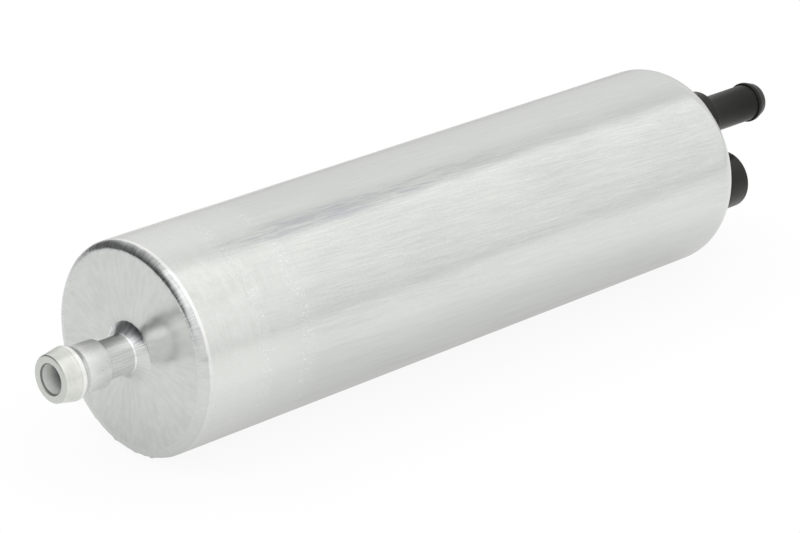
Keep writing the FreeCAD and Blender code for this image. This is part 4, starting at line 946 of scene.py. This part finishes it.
def make_floor():
    """Pale floor under the can, white to the camera, with the can's shadow painted into its glow
    from ambient occlusion.
    """
    half = 3.0
    level = -CAN_RADIUS * MM
    floor_mesh = bpy.data.meshes.new("floor")
    corners = [(x * half, y * half, level) for x, y in ((-1, -1), (1, -1), (1, 1), (-1, 1))]
    floor_mesh.from_pydata(corners, [], [(0, 1, 2, 3)])
    floor = bpy.data.objects.new("floor", floor_mesh)
    bpy.context.scene.collection.objects.link(floor)
    material = bpy.data.materials.new("floor")
    material.use_nodes = True
    tree = material.node_tree
    tree.nodes.clear()
    rays = add(tree, "ShaderNodeLightPath").outputs
    glossy = rays["Is Glossy Ray"]
    seen = calc(tree, "ADD", rays["Is Camera Ray"], glossy)
    seen = calc(tree, "ADD", seen, rays["Is Transmission Ray"], clamp=True)
    # The can's shadow is painted into the floor's glow from ambient occlusion, fainter to the
    # camera
    occlusion = add(tree, "ShaderNodeAmbientOcclusion", {"Distance": 0.03}, samples=16)
    shade = calc(tree, "SUBTRACT", 1.0, occlusion.outputs["AO"])
    shade = times(tree, shade, between(tree, rays["Is Camera Ray"], 0.45, 0.07))
    place = add(tree, "ShaderNodeTexCoord").outputs["Object"]
    away = add(tree, "ShaderNodeVectorMath", {0: place}, operation="LENGTH").outputs["Value"]
    y = add(tree, "ShaderNodeSeparateXYZ", {0: place}).outputs[1]
    # Far from the can, the floor is painted darker in reflections, more so towards +Y
    fading = spread(tree, y, 0.0, 0.15, to_low=0.18, to_high=0.42)
    fading = times(tree, times(tree, spread(tree, away, 0.14, 0.5), fading), glossy)
    strength = calc(tree, "SUBTRACT", calc(tree, "SUBTRACT", 1.0, shade), fading)
    glow = add(tree, "ShaderNodeEmission", {"Color": WHITE, "Strength": strength})
    diffuse = add(tree, "ShaderNodeBsdfDiffuse", {"Color": FLOOR})
    shaders = {0: seen, 1: diffuse.outputs[0], 2: glow.outputs[0]}
    blend = add(tree, "ShaderNodeMixShader", shaders)
    add(tree, "ShaderNodeOutputMaterial", {0: blend.outputs[0]})
    floor_mesh.materials.append(material)


def turn_ramp(tree, turn, levels):
    """Grey level along an angle, from (degrees, level) steps."""
    first, last = levels[0][0], levels[-1][0]
    most = max(level for degrees, level in levels)
    ramp = add(tree, "ShaderNodeValToRGB", {0: spread(tree, turn, first, last)})
    elements = ramp.color_ramp.elements
    for place, (degrees, level) in enumerate(levels):
        share = (degrees - first) / (last - first)
        element = elements[place] if place < 2 else elements.new(share)
        element.position = share
        element.color = (level / most, level / most, level / most, 1.0)
    return scaled(tree, ramp.outputs[0], (most, most, most))


def make_world():
    """Soft studio, white to the camera, with other levels for what lies past the closed end."""
    world = bpy.data.worlds.new("studio")
    bpy.context.scene.world = world
    world.use_nodes = True
    tree = world.node_tree
    tree.nodes.clear()
    direction = add(tree, "ShaderNodeTexCoord").outputs["Generated"]
    x, y = add(tree, "ShaderNodeSeparateXYZ", {0: direction}).outputs[:2]
    turn = times(tree, angle_of(tree, direction), 180.0 / math.pi)
    sides = turn_ramp(tree, turn, SIDE_LEVELS)
    front = turn_ramp(tree, turn, FRONT_LEVELS)
    # Less light from far out at the front and high up
    outer = times(tree, spread(tree, x, -0.55, -0.9), spread(tree, turn, 35.0, 75.0))
    dimmed = {0: front, "Scale": spread(tree, outer, 0.0, 1.0, to_low=1.0, to_high=0.4)}
    front = add(tree, "ShaderNodeVectorMath", dimmed, operation="SCALE").outputs[0]
    # Where the direction points away from the camera, the front's levels reach further toward +X
    behind = calc(tree, "MAXIMUM", calc(tree, "SUBTRACT", y, 0.78), 0.0)
    reach = calc(tree, "SUBTRACT", x, times(tree, behind, 3.2))
    lit = mixed(tree, spread(tree, reach, 0.37, -0.4), sides, front)
    studio = add(tree, "ShaderNodeBackground", {0: lit, 1: 1.0})
    white = add(tree, "ShaderNodeBackground", {0: WHITE, 1: 1.0})
    camera_ray = add(tree, "ShaderNodeLightPath").outputs["Is Camera Ray"]
    shaders = {0: camera_ray, 1: studio.outputs[0], 2: white.outputs[0]}
    blend = add(tree, "ShaderNodeMixShader", shaders)
    add(tree, "ShaderNodeOutputWorld", {0: blend.outputs[0]})


def make_camera():
    """Camera at the photograph's angle."""
    origin = CAMERA_ORIGIN * MM
    place = -(CAMERA_RIGHT * origin.x) + CAMERA_UP * origin.y + CAMERA_BACK * origin.z
    camera_data = bpy.data.cameras.new("camera")
    camera_data.lens = CAMERA_LENS
    camera_data.sensor_width = CAMERA_SENSOR
    camera_data.clip_start = CAMERA_CLIP
    camera = bpy.data.objects.new("camera", camera_data)
    rotation = Matrix((CAMERA_RIGHT, CAMERA_UP, CAMERA_BACK)).transposed()
    camera.matrix_world = Matrix.Translation(place) @ rotation.to_4x4()
    scene = bpy.context.scene
    scene.collection.objects.link(camera)
    scene.camera = camera
    scene.view_settings.view_transform = "Standard"


can_materials = [
    can_side_material(),
    can_face_material(),
    can_rim_material(),
    can_neck_material(),
    can_root_material(),
    can_tip_material(),
    can_bore_material(),
    can_inside_material(),
]
make_can_shell(can_materials)
make_cap_moulding([plastic_material("cap_plastic", *CAP, *CAP_ROUGH, CAP_GLOSS)])
dress_nodes()
make_springs()
make_floor()
make_world()
make_camera()
